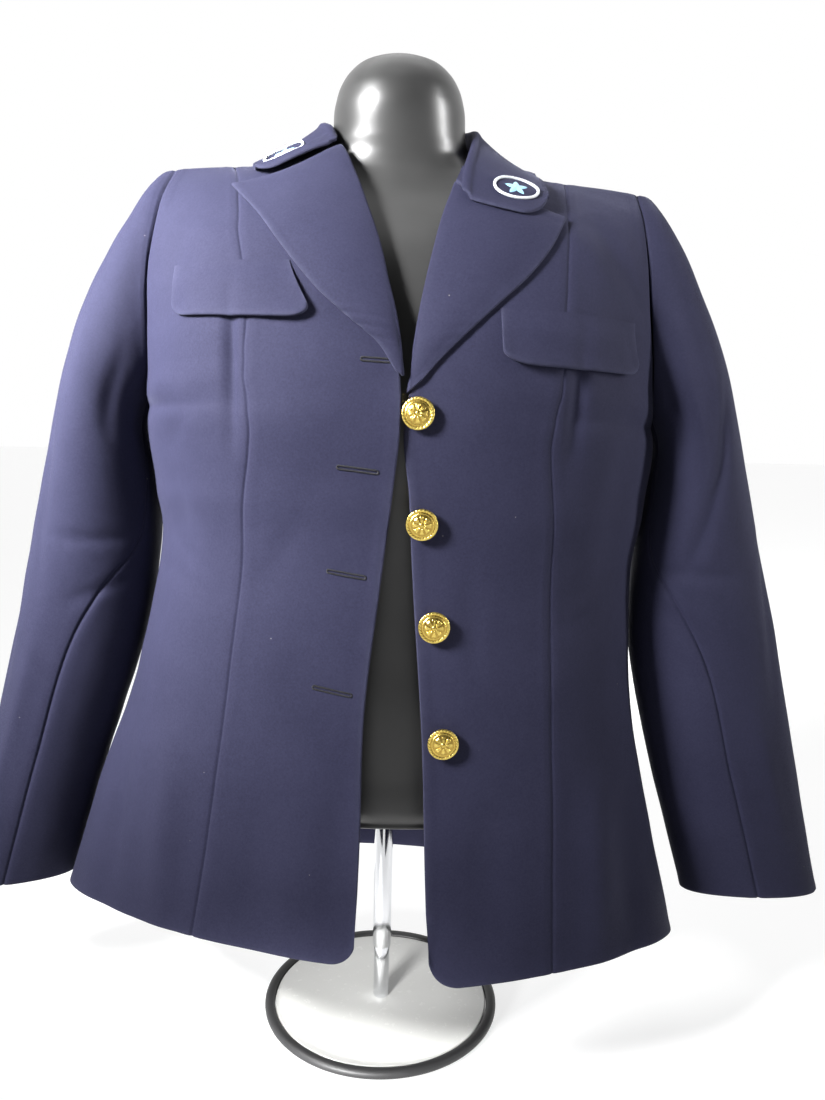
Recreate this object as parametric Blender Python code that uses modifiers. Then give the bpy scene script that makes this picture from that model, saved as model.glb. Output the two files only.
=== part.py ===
"""A women's naval uniform jacket, worn open by a limbless dress form on its stand.

Metres, +Z up. The origin is the middle of the base's underside, the jacket's front faces -Y and the wearer's
left is +X. The tables are in millimetres, measured from the stand's axis: out is the distance to the wearer's own
side, away the distance to the front or to the back, and up the height. The cloth's surface runs in levels: 0 is
the hem, 1 the waist, 2 the armpit and 3 the shoulder seam. Each cut piece is a wall round that surface.
"""

import math

import bpy
import numpy as np
from mathutils import Vector

MM = 0.001

CLOTH = 2.0 * MM
SEAM_GAP = 0.3 * MM
REST_GAP = 0.35 * MM

SIDES = {"right": -1.0, "left": 1.0}
CENTRE_BACK_OUT = 2.0
ARMPIT = 2.0
SHOULDER = 3.0
SIDE_SEAM_SHARE = 0.98
ROW_LENGTH = 300.0
EDGE_CROWDING = 1.6
FOLD_FADE = 0.12
CENTRE_BACK_FADE = 0.15
SEARCH_ROUNDS = 14
SUPPORT_FROM = 2.2
SUPPORT_ROWS = 60
LAPEL_SUPPORT_COLUMNS = 40

HEM_CORNER = {"right": 20.0, "left": 25.0}
CORNER_REACH = 60.0

SHOULDER_NECK = {"right": (58, 0, 752), "left": (62, 0, 748)}
SHOULDER_END = {"right": (177, 0, 729), "left": (194, 0, 718)}
ARMPIT_POINT = {"right": (198, 0, 539), "left": (214, 0, 530)}

# Front edge from the hem to the break of the lapel, then the roll line to the neck: level, out, away, up
FRONT_EDGE = {
    "right": (
        (0.00, 18, 132, 118),
        (0.35, 15, 127, 218),
        (0.70, 13, 121, 322),
        (1.00, 3, 118, 415),
        (1.50, -5, 122, 485),
        (2.00, -9.5, 126, 551),
        (2.15, -8, 122, 577),
        (2.30, -6, 117, 594),
        (2.45, -2, 110, 614),
        (2.60, 4, 102, 636),
        (2.75, 10.5, 90, 661),
        (2.87, 20, 75, 688),
        (2.93, 31, 58, 716),
        (2.97, 42, 40, 738),
        (3.00, *SHOULDER_NECK["right"]),
    ),
    "left": (
        (0.00, 40, 131, 100),
        (0.35, 35, 126, 190),
        (0.70, 30, 119, 300),
        (1.00, 22, 115, 400),
        (1.50, 17, 118, 478),
        (2.00, 13, 121, 545),
        (2.15, 18, 119, 571),
        (2.30, 20, 115, 592),
        (2.45, 24, 107, 617),
        (2.65, 31.5, 93, 653),
        (2.82, 41, 71, 691),
        (2.92, 50, 48, 717),
        (2.97, 56, 29, 734),
        (3.00, *SHOULDER_NECK["left"]),
    ),
}

# Side seam, shared by front and back: level, out, away, up
SIDE_SEAM = {
    "right": (
        (0.00, 277, 0, 118),
        (0.35, 249, 0, 217),
        (0.70, 214, 0, 320),
        (1.00, 193, 0, 415),
        (1.50, 194, 0, 478),
        (2.00, *ARMPIT_POINT["right"]),
    ),
    "left": (
        (0.00, 259, 0, 81),
        (0.35, 235, 0, 183),
        (0.70, 211, 0, 297),
        (1.00, 204, 0, 390),
        (1.50, 211, 0, 465),
        (2.00, *ARMPIT_POINT["left"]),
    ),
}

# Armhole above the armpit, on the front and on the back: level, out, away, up
ARMHOLE = {
    ("right", "front"): (
        (2.08, 196, 22, 549),
        (2.20, 191, 40, 572),
        (2.40, 188, 51, 606),
        (2.60, 187, 52, 640),
        (2.80, 183, 42, 680),
        (2.92, 180, 26, 707),
        (3.00, *SHOULDER_END["right"]),
    ),
    ("right", "back"): (
        (2.08, 196, 23, 549),
        (2.20, 192, 42, 573),
        (2.40, 187, 54, 609),
        (2.60, 184, 54, 645),
        (2.80, 181, 42, 685),
        (2.92, 179, 25, 709),
        (3.00, *SHOULDER_END["right"]),
    ),
    ("left", "front"): (
        (2.08, 211, 22, 541),
        (2.20, 206, 40, 564),
        (2.40, 201, 52, 598),
        (2.60, 197, 52, 634),
        (2.80, 195, 42, 670),
        (2.92, 194, 25, 697),
        (3.00, *SHOULDER_END["left"]),
    ),
    ("left", "back"): (
        (2.08, 211, 23, 541),
        (2.20, 207, 42, 565),
        (2.40, 202, 54, 601),
        (2.60, 199, 54, 637),
        (2.80, 196, 42, 675),
        (2.92, 195, 25, 699),
        (3.00, *SHOULDER_END["left"]),
    ),
}

# Centre back seam, then the back of the neckline: level, out, away, up
SPINE = (
    (0.00, 0, 112, 99),
    (0.35, 0, 104, 218),
    (0.70, 0, 92, 320),
    (1.00, 0, 84, 415),
    (1.50, 0, 92, 482),
    (2.00, 0, 103, 550),
    (2.30, 0, 104, 612),
    (2.50, 0, 97, 672),
    (2.62, 0, 84, 718),
    (2.72, 0, 67, 756),
)
BACK_NECK = {
    "right": ((2.85, 28, 59, 755), (2.93, 46, 38, 753), (3.00, *SHOULDER_NECK["right"])),
    "left": ((2.85, 30, 59, 754), (2.93, 49, 38, 751), (3.00, *SHOULDER_NECK["left"])),
}

# How each level's line swells between its two ends. pull is the length of the curve's handle, as a share of the
# span, at the edge and at the side; bump pushes the first handle away from the body; turn is the angle at the side
# from straight back, in degrees; lift raises each handle. Columns: level, edge_pull, bump, side_pull, turn,
# edge_lift, side_lift
SECTION = {
    "front": (
        (0.00, 0.60, 0, 0.60, 0, 20, 34),
        (0.35, 0.60, 0, 0.60, 0, 7, 12),
        (0.70, 0.58, 1, 0.58, 0, 0, 0),
        (1.00, 0.56, 2, 0.58, 0, 0, 0),
        (1.50, 0.58, 5, 0.62, 0, 0, 0),
        (1.80, 0.58, 6.8, 0.63, 1, 0, 0),
        (2.00, 0.58, 8, 0.63, 4, 0, 0),
        (2.08, 0.56, 8.4, 0.545, 9, 0, 0),
        (2.20, 0.52, 9, 0.46, 22, 0, 0),
        (2.40, 0.50, 10, 0.45, 38, 2, 2),
        (2.60, 0.46, 9, 0.42, 48, 3, 4),
        (2.80, 0.40, 7, 0.38, 60, 0, 4),
        (2.93, 0.35, 2, 0.34, 78, -10, -1),
        (3.00, 0.333, 0, 0.333, 90, -20, -2),
    ),
    "back": (
        (0.00, 0.58, 0, 0.60, 0, 0, 4),
        (0.50, 0.58, 0, 0.60, 0, 0, 0),
        (1.00, 0.56, 0, 0.58, 0, 0, 0),
        (1.50, 0.60, 0, 0.60, 0, 0, 0),
        (1.80, 0.61, 0, 0.64, 1, 0, 0),
        (2.00, 0.62, 0, 0.66, 4, 0, 0),
        (2.08, 0.61, 0, 0.53, 9, 0, 0),
        (2.20, 0.60, 0, 0.44, 24, 0, 0),
        (2.40, 0.56, 0, 0.43, 40, 0, 0),
        (2.60, 0.50, 0, 0.42, 52, 0, 4),
        (2.80, 0.42, 0, 0.38, 66, -6, 2),
        (2.93, 0.35, 0, 0.34, 80, -14, -1),
        (3.00, 0.333, 0, 0.333, 90, -20, -2),
    ),
}

# Where the princess seam crosses each level, as a share of the way from the front edge to the side: level, share
PRINCESS = {
    "right": (
        (0, 0.308), (0.3, 0.312), (0.6, 0.333), (0.9, 0.362), (1.2, 0.372), (1.5, 0.357), (1.75, 0.339),
        (1.92, 0.336), (2.04, 0.355), (2.14, 0.391), (2.24, 0.423), (2.36, 0.441), (2.5, 0.465), (2.65, 0.506),
        (2.8, 0.566), (2.9, 0.59), (3, 0.6),
    ),
    "left": (
        (0, 0.274), (0.3, 0.305), (0.6, 0.348), (0.9, 0.375), (1.2, 0.374), (1.5, 0.355), (1.75, 0.341),
        (1.92, 0.342), (2.04, 0.364), (2.14, 0.403), (2.24, 0.442), (2.36, 0.473), (2.5, 0.505), (2.65, 0.533),
        (2.8, 0.553), (2.9, 0.562), (3, 0.56),
    ),
}

# The largest folds of the body, as furrows from one point to another of the front as seen from ahead.
# Columns: out and up of the start, out and up of the end, width, depth (a ridge has a negative depth)
FOLDS = {
    "right": (
        (113, 600, 112, 500, 7, 2.6),
        (168, 560, 160, 380, 14, 3.0),
        (205, 330, 228, 120, 13, 5.0),
        (166, 300, 176, 120, 14, -5.0),
        (92, 260, 96, 120, 20, 3.0),
    ),
    "left": (
        (146, 575, 140, 490, 8, 3.0),
        (186, 560, 172, 400, 15, 3.0),
        (196, 250, 214, 85, 14, 4.5),
        (168, 270, 178, 95, 14, -4.0),
        (80, 250, 86, 100, 20, 3.0),
    ),
}

# Guide lines of the sleeves from the armhole, 0, to the cuff, 1: share, out, away to the front, up
SLEEVE = {
    "right": {
        "outer": (
            (0.00, *SHOULDER_END["right"]),
            (0.03, 189, 0, 724),
            (0.08, 208, 0, 694),
            (0.16, 231, 0, 653),
            (0.28, 257, 0, 589),
            (0.42, 277, 0, 515),
            (0.58, 303, 0, 413),
            (0.78, 334, -2, 288),
            (1.00, 383, -4, 112),
        ),
        "front": (
            (0.00, 188, 51, 622),
            (0.08, 210, 61, 602),
            (0.16, 228, 65, 574),
            (0.28, 242, 65, 528),
            (0.42, 249, 60, 466),
            (0.58, 262, 52, 384),
            (0.78, 296, 40, 262),
            (1.00, 336, 32, 124),
        ),
        "inner": (
            (0.00, *ARMPIT_POINT["right"]),
            (0.08, 203, 0, 524),
            (0.20, 199, 0, 492),
            (0.42, 197.5, 0, 424),
            (0.58, 210.5, -2, 350),
            (0.78, 247.5, -5, 238),
            (1.00, 283, -8, 120),
        ),
        "back": (
            (0.00, 187, -54, 626),
            (0.08, 210, -63, 602),
            (0.16, 228, -68, 572),
            (0.28, 242, -70, 524),
            (0.42, 249, -70, 460),
            (0.58, 262, -64, 380),
            (0.78, 296, -50, 258),
            (1.00, 336, -42, 110),
        ),
    },
    "left": {
        "outer": (
            (0.00, *SHOULDER_END["left"]),
            (0.03, 205.5, 0, 714),
            (0.08, 226, 0, 684),
            (0.16, 245, 0, 641),
            (0.28, 269, 0, 583),
            (0.42, 293, 0, 500),
            (0.58, 318, 0, 410),
            (0.78, 351, 0, 278),
            (1.00, 389, 0, 123),
        ),
        "front": (
            (0.00, 200, 52, 616),
            (0.08, 222, 61, 594),
            (0.16, 239, 65, 565),
            (0.28, 252, 65, 518),
            (0.42, 260, 60, 455),
            (0.58, 270, 53, 376),
            (0.78, 298, 45, 256),
            (1.00, 333, 37, 131),
        ),
        "inner": (
            (0.00, *ARMPIT_POINT["left"]),
            (0.08, 219, 0, 515),
            (0.20, 216.5, 0, 484),
            (0.42, 210.5, 0, 418),
            (0.58, 211, 0, 346),
            (0.78, 235, 0, 240),
            (1.00, 272, 0, 120),
        ),
        "back": (
            (0.00, 201, -54, 618),
            (0.08, 222, -63, 592),
            (0.16, 239, -68, 562),
            (0.28, 252, -70, 514),
            (0.42, 260, -70, 450),
            (0.58, 270, -62, 372),
            (0.78, 298, -48, 252),
            (1.00, 333, -37, 114),
        ),
    },
}
ARMHOLE_REACH = 0.12

# The two sleeve seams, as angles round the sleeve from its outer line over the front: share, front, back
SLEEVE_SEAMS = (
    (0.00, 160, 222),
    (0.30, 160, 226),
    (0.42, 150, 232),
    (0.50, 128, 238),
    (0.60, 107, 244),
    (0.80, 98, 250),
    (1.00, 96, 254),
)

# Soft folds of the sleeves: share and angle of the start, share and angle of the end, width, depth
SLEEVE_FOLDS = {
    "right": ((0.20, 40, 0.62, 62, 9, 2.5), (0.50, 10, 0.80, 40, 10, 2.5), (0.62, 70, 0.92, 60, 9, -2.0)),
    "left": ((0.22, 60, 0.48, 120, 10, 3.5), (0.50, 20, 0.75, 50, 10, 2.5), (0.66, 75, 0.94, 62, 9, -2.0)),
}
SLEEVE_RADIUS = 55.0
SLEEVE_LENGTH = 650.0
ARMHOLE_SPREAD = 0.8
SLEEVE_GAP_SLACK = 1.2

# Free edge of each lapel from the break to its peak, as seen from ahead: share, out, up
LAPEL_EDGE = {
    "right": (
        (0.00, -5, 571),
        (0.12, 7, 589),
        (0.28, 30, 608),
        (0.45, 52, 627),
        (0.62, 75, 653),
        (0.80, 100, 684),
        (1.00, 124, 708),
    ),
    "left": (
        (0.00, 24, 565),
        (0.12, 37, 580),
        (0.28, 56, 599),
        (0.45, 79, 621),
        (0.62, 98, 639),
        (0.80, 114, 659),
        (1.00, 128, 684),
    ),
}
LAPEL_LEVELS = {"right": (2.04, 2.97), "left": (2.06, 2.90)}
LAPEL_PUFF = 3.0
LAPEL_LEAN = 0.7
LAPEL_TOP_LIFT = 0.8
LAPEL_PUFF_START = 0.3

# Pocket flaps as seen from ahead: upper inner, upper outer, lower outer and lower inner corner, out and up
FLAP = {
    "right": ((72, 647), (160, 645), (161, 608), (52, 605)),
    "left": ((79, 617), (181, 611), (184, 572), (82, 578)),
}
FLAP_CORNER = 0.16
FLAP_ROUNDING = 1.6
FLAP_LIFT = 3.0
FLAP_WALL = 2.4 * MM

# The collar's sections from the right end over the back of the neck to the left end. Columns: share, then out
# towards the wearer's left, away to the front and up, of the fold and of the fall's free edge
COLLAR = (
    (-1.00, -43, 47, 737, -107, 46, 711),
    (-0.88, -47, 31, 752, -111, 20, 729),
    (-0.75, -51, 20, 758, -108, 4, 734),
    (-0.60, -57, 0, 763, -104, -20, 737),
    (-0.40, -49, -42, 771, -84, -68, 738),
    (-0.20, -26, -62, 777, -44, -96, 735),
    (0.00, 2, -68, 779, 2, -104, 733),
    (0.20, 30, -62, 776, 48, -96, 733),
    (0.40, 53, -42, 769, 88, -66, 732),
    (0.60, 61, 0, 759, 106, -16, 729),
    (0.75, 58, 29, 742, 113, 28, 721),
    (0.88, 53, 55, 720, 115, 58, 705),
    (1.00, 50, 79, 693, 112, 82, 683),
)
COLLAR_WALL = 2.2 * MM
COLLAR_GAP = 1.1 * MM
COLLAR_LOBE = 0.80
COLLAR_EDGE_ROUND = 0.11
COLLAR_FOLD_ROUND = 0.06
COLLAR_END_POWER = 8
COLLAR_SHOULDER = 0.6
COLLAR_LIES_BY = 0.25
COLLAR_END_FROM = 0.7
COLLAR_END_LEVEL = {"right": 2.97, "left": 2.87}
COLLAR_STAND = 0.30
COLLAR_TURN = 0.16
COLLAR_TURN_FREE = 0.6
COLLAR_CREST = 3.0
BODY_REACH = 6.0 * MM
LAPEL_REACH = 16.0 * MM

# Buttons on the wearer's left front, as seen from ahead: out, up
BUTTONS = ((22.0, 542.0), (26.5, 463.0), (37.0, 386.0), (46.0, 297.0))
BUTTON_RADIUS = 11.8
BUTTON_STEPS = 16
# Radius and height from the cloth, from the crown down to the foot of the shank
BUTTON_PROFILE = (
    (0, 7.6), (4.0, 7.4), (7.8, 6.3), (9.8, 4.9), (10.9, 5.1), (BUTTON_RADIUS, 4.2), (11.2, 3.0), (9.0, 2.5),
    (2.6, 2.4), (2.4, 0), (0, 0),
)

# The dress form's level sections: up, half width, depth to the front, depth to the back, squareness
FORM_CENTRE_OUT = 2.0
FORM_SECTIONS = (
    (205.0, 118, 66, 60, 2.3),
    (207, 129, 77, 71, 2.3),
    (214, 135, 83, 77, 2.3),
    (255, 143, 88, 82, 2.3),
    (305, 145, 90, 82, 2.3),
    (350, 138, 88, 74, 2.3),
    (400, 130, 88, 66, 2.3),
    (450, 134, 94, 68, 2.3),
    (500, 144, 102, 77, 2.3),
    (545, 150, 107, 84, 2.4),
    (590, 154, 104, 88, 2.4),
    (630, 158, 94, 86, 2.4),
    (665, 159, 79, 77, 2.3),
    (690, 152, 63.5, 67, 2.2),
    (707, 134, 52, 58, 2.1),
    (718, 105, 47, 55, 2.0),
    (727, 79, 44.5, 53, 2.0),
    (737, 59, 45, 52, 2.0),
    (750, 54, 47.5, 51.5, 2.0),
    (779, 51, 50.5, 51, 2.0),
    (792, 47, 47, 47, 2.0),
    (802, 40.5, 40.5, 40.5, 2.0),
    (809, 32.5, 32.5, 32.5, 2.0),
    (813.5, 24, 24, 24, 2.0),
    (816, 14, 14, 14, 2.0),
    (817, 4, 4, 4, 2.0),
)
FORM_SIDES = 30

POLE_UPPER_RADIUS = 8.3
POLE_BORE_RADIUS = 7.3
POLE_LOWER_RADIUS = 7.0
POLE_STEP_UP = 57.0
POLE_OVERLAP = 28.0
PLATE_TOP = 6.5
PLATE_RADIUS = 96.5
RIM_RADIUS = 106.0
RIM_TOP = 8.5
TURNED_STEPS = 48

# Where the grids of the walls are sampled
BODY_LEVELS = np.concatenate([np.linspace(0, 2, 14), (2.14, 2.28, 2.42, 2.56, 2.68, 2.78, 2.86, 2.93, 2.97, 3.0)])
SLEEVE_SHARES = np.concatenate([(0, 0.015, 0.035, 0.06, 0.09, 0.13), np.linspace(0.19, 1, 13)])
COLLAR_SHARES = np.concatenate([-np.linspace(1, 0.6, 8)[:-1], np.linspace(-0.6, 0.6, 11), np.linspace(0.6, 1, 8)[1:]])
COLLAR_ACROSS = np.concatenate([(0,), np.linspace(0.30, 0.46, 4), (0.56, 0.67, 0.78, 0.88, 0.95, 1.0)])

COLOURS = {
    "cloth": ((0.022, 0.025, 0.058), 0.85, 0.0),
    "brass": ((0.83, 0.56, 0.12), 0.28, 1.0),
    "form": ((0.02, 0.02, 0.022), 0.25, 0.0),
    "chrome": ((0.75, 0.76, 0.78), 0.12, 1.0),
    "plate": ((0.62, 0.62, 0.63), 0.2, 0.6),
    "rubber": ((0.02, 0.02, 0.02), 0.6, 0.0),
}


def smooth_line(rows, at):
    """The values of a table's rows at the places `at` in its first column: a cubic with the neighbours' slope."""
    rows = np.asarray(rows, float)
    knots, values = rows[:, 0], rows[:, 1:]
    slopes = np.gradient(values, knots, axis=0)
    at = np.asarray(at, float)
    low = np.clip(np.searchsorted(knots, at, side="right") - 1, 0, len(knots) - 2)
    span = (knots[low + 1] - knots[low])[..., None]
    t = (at - knots[low])[..., None] / span
    return (
        values[low] * (1 + 2 * t) * (1 - t) ** 2
        + slopes[low] * span * t * (1 - t) ** 2
        + values[low + 1] * t * t * (3 - 2 * t)
        + slopes[low + 1] * span * t * t * (t - 1)
    )


def smooth_step(value):
    value = np.clip(value, 0.0, 1.0)
    return value * value * (3 - 2 * value)


def furrows(folds, first, second):
    """Depth of the folds at places given by two coordinates in mm: a bell across each fold, fading at its ends."""
    depth = np.zeros(np.shape(first))
    for start_1, start_2, end_1, end_2, width, height in folds:
        length = math.hypot(end_1 - start_1, end_2 - start_2)
        along_1, along_2 = (end_1 - start_1) / length, (end_2 - start_2) / length
        along = (first - start_1) * along_1 + (second - start_2) * along_2
        across = (first - start_1) * along_2 - (second - start_2) * along_1
        fade = np.sin(math.pi * np.clip(along / length, 0.0, 1.0))
        depth += height * fade * np.exp(-((across / width) ** 2))
    return depth


def guide_rows(side, face):
    """The two guide lines that bound one half of the front or of the back."""
    sides = SIDE_SEAM[side] + ARMHOLE[side, face]
    edge = FRONT_EDGE[side] if face == "front" else SPINE + BACK_NECK[side]
    return edge, sides


def plain_surface(side, face, level, across):
    """Points (out, away, up) in mm of the cloth before its folds: at each level a cubic curve from edge to side."""
    level, across = np.broadcast_arrays(np.asarray(level, float), np.asarray(across, float))
    edge_rows, side_rows = guide_rows(side, face)
    edge, rim = smooth_line(edge_rows, level), smooth_line(side_rows, level)
    rim[..., 1] = np.clip(rim[..., 1], 0.0, None)
    if face == "back":
        edge[..., 0] = np.clip(edge[..., 0], 0.0, None)
    edge_pull, bump, side_pull, turn, edge_lift, side_lift = np.moveaxis(smooth_line(SECTION[face], level), -1, 0)
    span = rim - edge
    turn = np.radians(turn)
    reach = side_pull * (-span[..., 1] * np.cos(turn) + span[..., 0] * np.sin(turn))
    first = edge + np.stack([edge_pull * span[..., 0], bump, span[..., 2] / 3 + edge_lift], -1)
    second = rim + np.stack([-reach * np.sin(turn), reach * np.cos(turn), -span[..., 2] / 3 + side_lift], -1)
    s = across[..., None]
    points = edge * (1 - s) ** 3 + 3 * first * s * (1 - s) ** 2 + 3 * second * s * s * (1 - s) + rim * s**3
    if face == "front":
        corner = HEM_CORNER[side]
        inset = np.clip(corner - np.linalg.norm((points - edge)[..., :2], axis=-1), 0.0, corner)
        height = edge[..., 2] - FRONT_EDGE[side][0][3]
        fade = np.clip(1 - height / CORNER_REACH, 0.0, 1.0)
        points[..., 2] += fade * (corner - np.sqrt(corner**2 - inset**2))
    return points


def slope_normals(surface, level, across, step=2e-3):
    """Unit normals of a surface by small steps along both of its directions, pointing away from the body."""
    low, high = np.clip(level - step, 0.0, SHOULDER), np.clip(level + step, 0.0, SHOULDER)
    rise = surface(high, across) - surface(low, across)
    run = surface(level, across + step) - surface(level, across - step)
    normal = np.cross(run, rise)
    return normal / np.linalg.norm(normal, axis=-1, keepdims=True)


def body_surface(side, face, level, across):
    """Points (out, away, up) in mm of the cloth with its folds."""
    level, across = np.broadcast_arrays(np.asarray(level, float), np.asarray(across, float))
    points = plain_surface(side, face, level, across)
    if face == "back":
        return points
    normals = -slope_normals(lambda a, b: plain_surface(side, face, a, b), level, across)
    depth = furrows(FOLDS[side], points[..., 0], points[..., 2]) * smooth_step((1 - across) / FOLD_FADE)
    return points - normals * depth[..., None]


def to_world(side, face, values):
    """Turns (out, away, up) into world axes, for points in mm or for directions."""
    way = -1.0 if face == "front" else 1.0
    return values * np.array([SIDES[side], way, 1.0])


def body_points(side, face, level, across):
    """World points in metres and outward unit normals of the cloth's middle surface."""
    level, across = np.broadcast_arrays(np.asarray(level, float), np.asarray(across, float))
    points = to_world(side, face, body_surface(side, face, level, across)) * MM
    if face == "back":
        points[..., 0] += CENTRE_BACK_OUT * MM * smooth_step((SHOULDER - level) / CENTRE_BACK_FADE) * (1 - across)
    normals = -slope_normals(lambda a, b: body_surface(side, face, a, b), level, across)
    return points, to_world(side, face, normals)


def unit(vectors):
    return vectors / np.linalg.norm(vectors, axis=-1, keepdims=True)


def share_seam_normals(side, level, across, normals):
    """Makes the walls of two pieces parallel where they meet, along the shoulder seam and the side seam."""
    joined = normals.copy()
    if across[0, -1] > SIDE_SEAM_SHARE:
        below = level[:, 0] <= ARMPIT + 1e-6
        ends = [body_points(side, face, level[:, 0], 1.0)[1] for face in ("front", "back")]
        joined[below, -1] = unit(ends[0] + ends[1])[below]
    tops = [body_points(side, face, SHOULDER, across[-1])[1] for face in ("front", "back")]
    joined[-1] = unit(tops[0] + tops[1])
    return joined


def new_object(name, mesh, material):
    created = bpy.data.objects.new(name, mesh)
    PARTS.objects.link(created)
    mesh.materials.append(material)
    mesh.shade_smooth()
    mesh.set_sharp_from_angle(angle=math.radians(40))
    return created


def new_material(name, look):
    colour, roughness, metallic = COLOURS[look]
    material = bpy.data.materials.new(name)
    material.use_nodes = True
    shader = material.node_tree.nodes["Principled BSDF"]
    shader.inputs["Base Color"].default_value = (*colour, 1.0)
    shader.inputs["Roughness"].default_value = roughness
    shader.inputs["Metallic"].default_value = metallic
    return material


def wall(name, middle, normals, thickness=CLOTH):
    """A closed cloth wall: the grid of its middle surface moved half a thickness out and in, with rims all round."""
    rows, columns = middle.shape[:2]
    outer = middle + normals * thickness / 2
    inner = middle - normals * thickness / 2
    count = rows * columns
    index = np.arange(count).reshape(rows, columns)
    down_row, along_row = middle[1:, :-1] - middle[:-1, :-1], middle[:-1, 1:] - middle[:-1, :-1]
    facing = (np.cross(along_row, down_row) * normals[:-1, :-1]).sum()
    sheet = np.stack([index[:-1, :-1], index[:-1, 1:], index[1:, 1:], index[1:, :-1]], -1).reshape(-1, 4)
    loop = np.concatenate([index[0, :-1], index[:-1, -1], index[-1, :0:-1], index[:0:-1, 0]])
    after = np.roll(loop, -1)
    rim = np.stack([loop, loop + count, after + count, after], -1)
    faces = np.concatenate([sheet, sheet[:, ::-1] + count, rim])
    if facing < 0:
        faces = faces[:, ::-1]
    mesh = bpy.data.meshes.new(name)
    mesh.from_pydata(np.concatenate([outer.reshape(-1, 3), inner.reshape(-1, 3)]).tolist(), [], faces.tolist())
    return new_object(name, mesh, new_material(name + "_cloth", "cloth"))


def seam_share(side, level, moved=0.0):
    """The princess seam's place at each level, moved sideways by some metres along the cloth."""
    share = smooth_line(PRINCESS[side], level)[..., 0]
    step = 1e-3
    near = body_surface(side, "front", level, share + step) - body_surface(side, "front", level, share - step)
    return share + moved / MM * 2 * step / np.linalg.norm(near, axis=-1)


def build_fronts(side):
    inner_share = seam_share(side, BODY_LEVELS, -SEAM_GAP / 2)[:, None]
    outer_share = seam_share(side, BODY_LEVELS, SEAM_GAP / 2)[:, None]
    side_end = 1 - SEAM_GAP / 2 / (ROW_LENGTH * MM)
    for name, across in (
        (f"front_centre_{side}", inner_share * np.linspace(0, 1, 9) ** EDGE_CROWDING),
        (f"front_side_{side}", outer_share + (side_end - outer_share) * np.linspace(0, 1, 7)),
    ):
        level = np.broadcast_to(BODY_LEVELS[:, None], across.shape)
        middle, normals = body_points(side, "front", level, across)
        normals = share_seam_normals(side, level, across, normals)
        middle[-1, :, 1] -= SEAM_GAP / 2
        wall(name, middle, normals)


def build_back(side):
    end = SEAM_GAP / 2 / (ROW_LENGTH * MM)
    level, across = np.meshgrid(BODY_LEVELS, np.linspace(end, 1 - end, 10), indexing="ij")
    middle, normals = body_points(side, "back", level, across)
    normals = share_seam_normals(side, level, across, normals)
    centre = BODY_LEVELS <= SPINE[-1][0]
    normals[centre, 0] = unit(normals[centre, 0] * np.array([0, 1, 1]))
    middle[-1, :, 1] += SEAM_GAP / 2
    wall(f"back_{side}", middle, normals)


def armhole_loop(side, angle):
    """Points (out, forward, up) in mm and the body's normals round the armhole, by angle from the shoulder."""
    angle = np.asarray(angle) % (2 * math.pi)
    half = angle / math.pi
    points, normals = [], []
    for face in ("front", "back"):
        level = np.linspace(SHOULDER, ARMPIT, 81)
        way = np.array([1.0, 1.0 if face == "front" else -1.0, 1.0])
        line = smooth_line(guide_rows(side, face)[1], level) * way
        length = np.concatenate([[0.0], np.cumsum(np.linalg.norm(np.diff(line, axis=0), axis=-1))])
        share = half if face == "front" else 2 - half
        at = np.interp(share, length / length[-1], level)
        points.append(smooth_line(guide_rows(side, face)[1], at) * way)
        normals.append(body_points(side, face, at, 1.0)[1])
    front = (half <= 1)[..., None]
    return np.where(front, points[0], points[1]), np.where(front, normals[0], normals[1])


def plain_sleeve(side, share, angle):
    """Points (out, forward, up) in mm of an oval through the four guide lines, eased from the armhole."""
    share, angle = np.broadcast_arrays(np.asarray(share, float), np.asarray(angle, float))

    def oval(place):
        outer, front, inner, back = (
            smooth_line(SLEEVE[side][line], place) for line in ("outer", "front", "inner", "back")
        )
        cosine, sine, double = (f[..., None] for f in (np.cos(angle), np.sin(angle), np.cos(2 * angle)))
        middle = (outer + front + inner + back) / 4
        return middle + cosine * (outer - inner) / 2 + sine * (front - back) / 2 + double * (
            (outer + inner - front - back) / 4
        )

    loop, _ = armhole_loop(side, angle)
    ease = np.clip(1 - share / ARMHOLE_REACH, 0.0, 1.0)[..., None] ** 2
    return oval(share) + (loop - oval(np.zeros_like(share))) * ease


def sleeve_surface(side, share, angle):
    """The sleeve's points with its folds, started far enough out from the armhole for both walls and the seam gap."""
    share, angle = np.broadcast_arrays(np.asarray(share, float), np.asarray(angle, float))
    points = plain_sleeve(side, share, angle)
    _, body_normals = armhole_loop(side, angle)
    spread = SEAM_GAP / MM + CLOTH / MM / 2 * (np.abs(body_normals[..., 0]) + ARMHOLE_SPREAD)
    points[..., 0] += spread * np.clip(1 - share / ARMHOLE_REACH, 0.0, 1.0)
    turn = (angle + math.pi) % (2 * math.pi) - math.pi
    folds = [
        (start * SLEEVE_LENGTH, math.radians(turn_1) * SLEEVE_RADIUS, end * SLEEVE_LENGTH,
         math.radians(turn_2) * SLEEVE_RADIUS, width, depth)
        for start, turn_1, end, turn_2, width, depth in SLEEVE_FOLDS[side]
    ]
    depth = furrows(folds, share * SLEEVE_LENGTH, turn * SLEEVE_RADIUS)
    outward = np.stack([np.cos(angle), np.sin(angle), 0 * angle], -1)
    return points - depth[..., None] * outward


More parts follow.
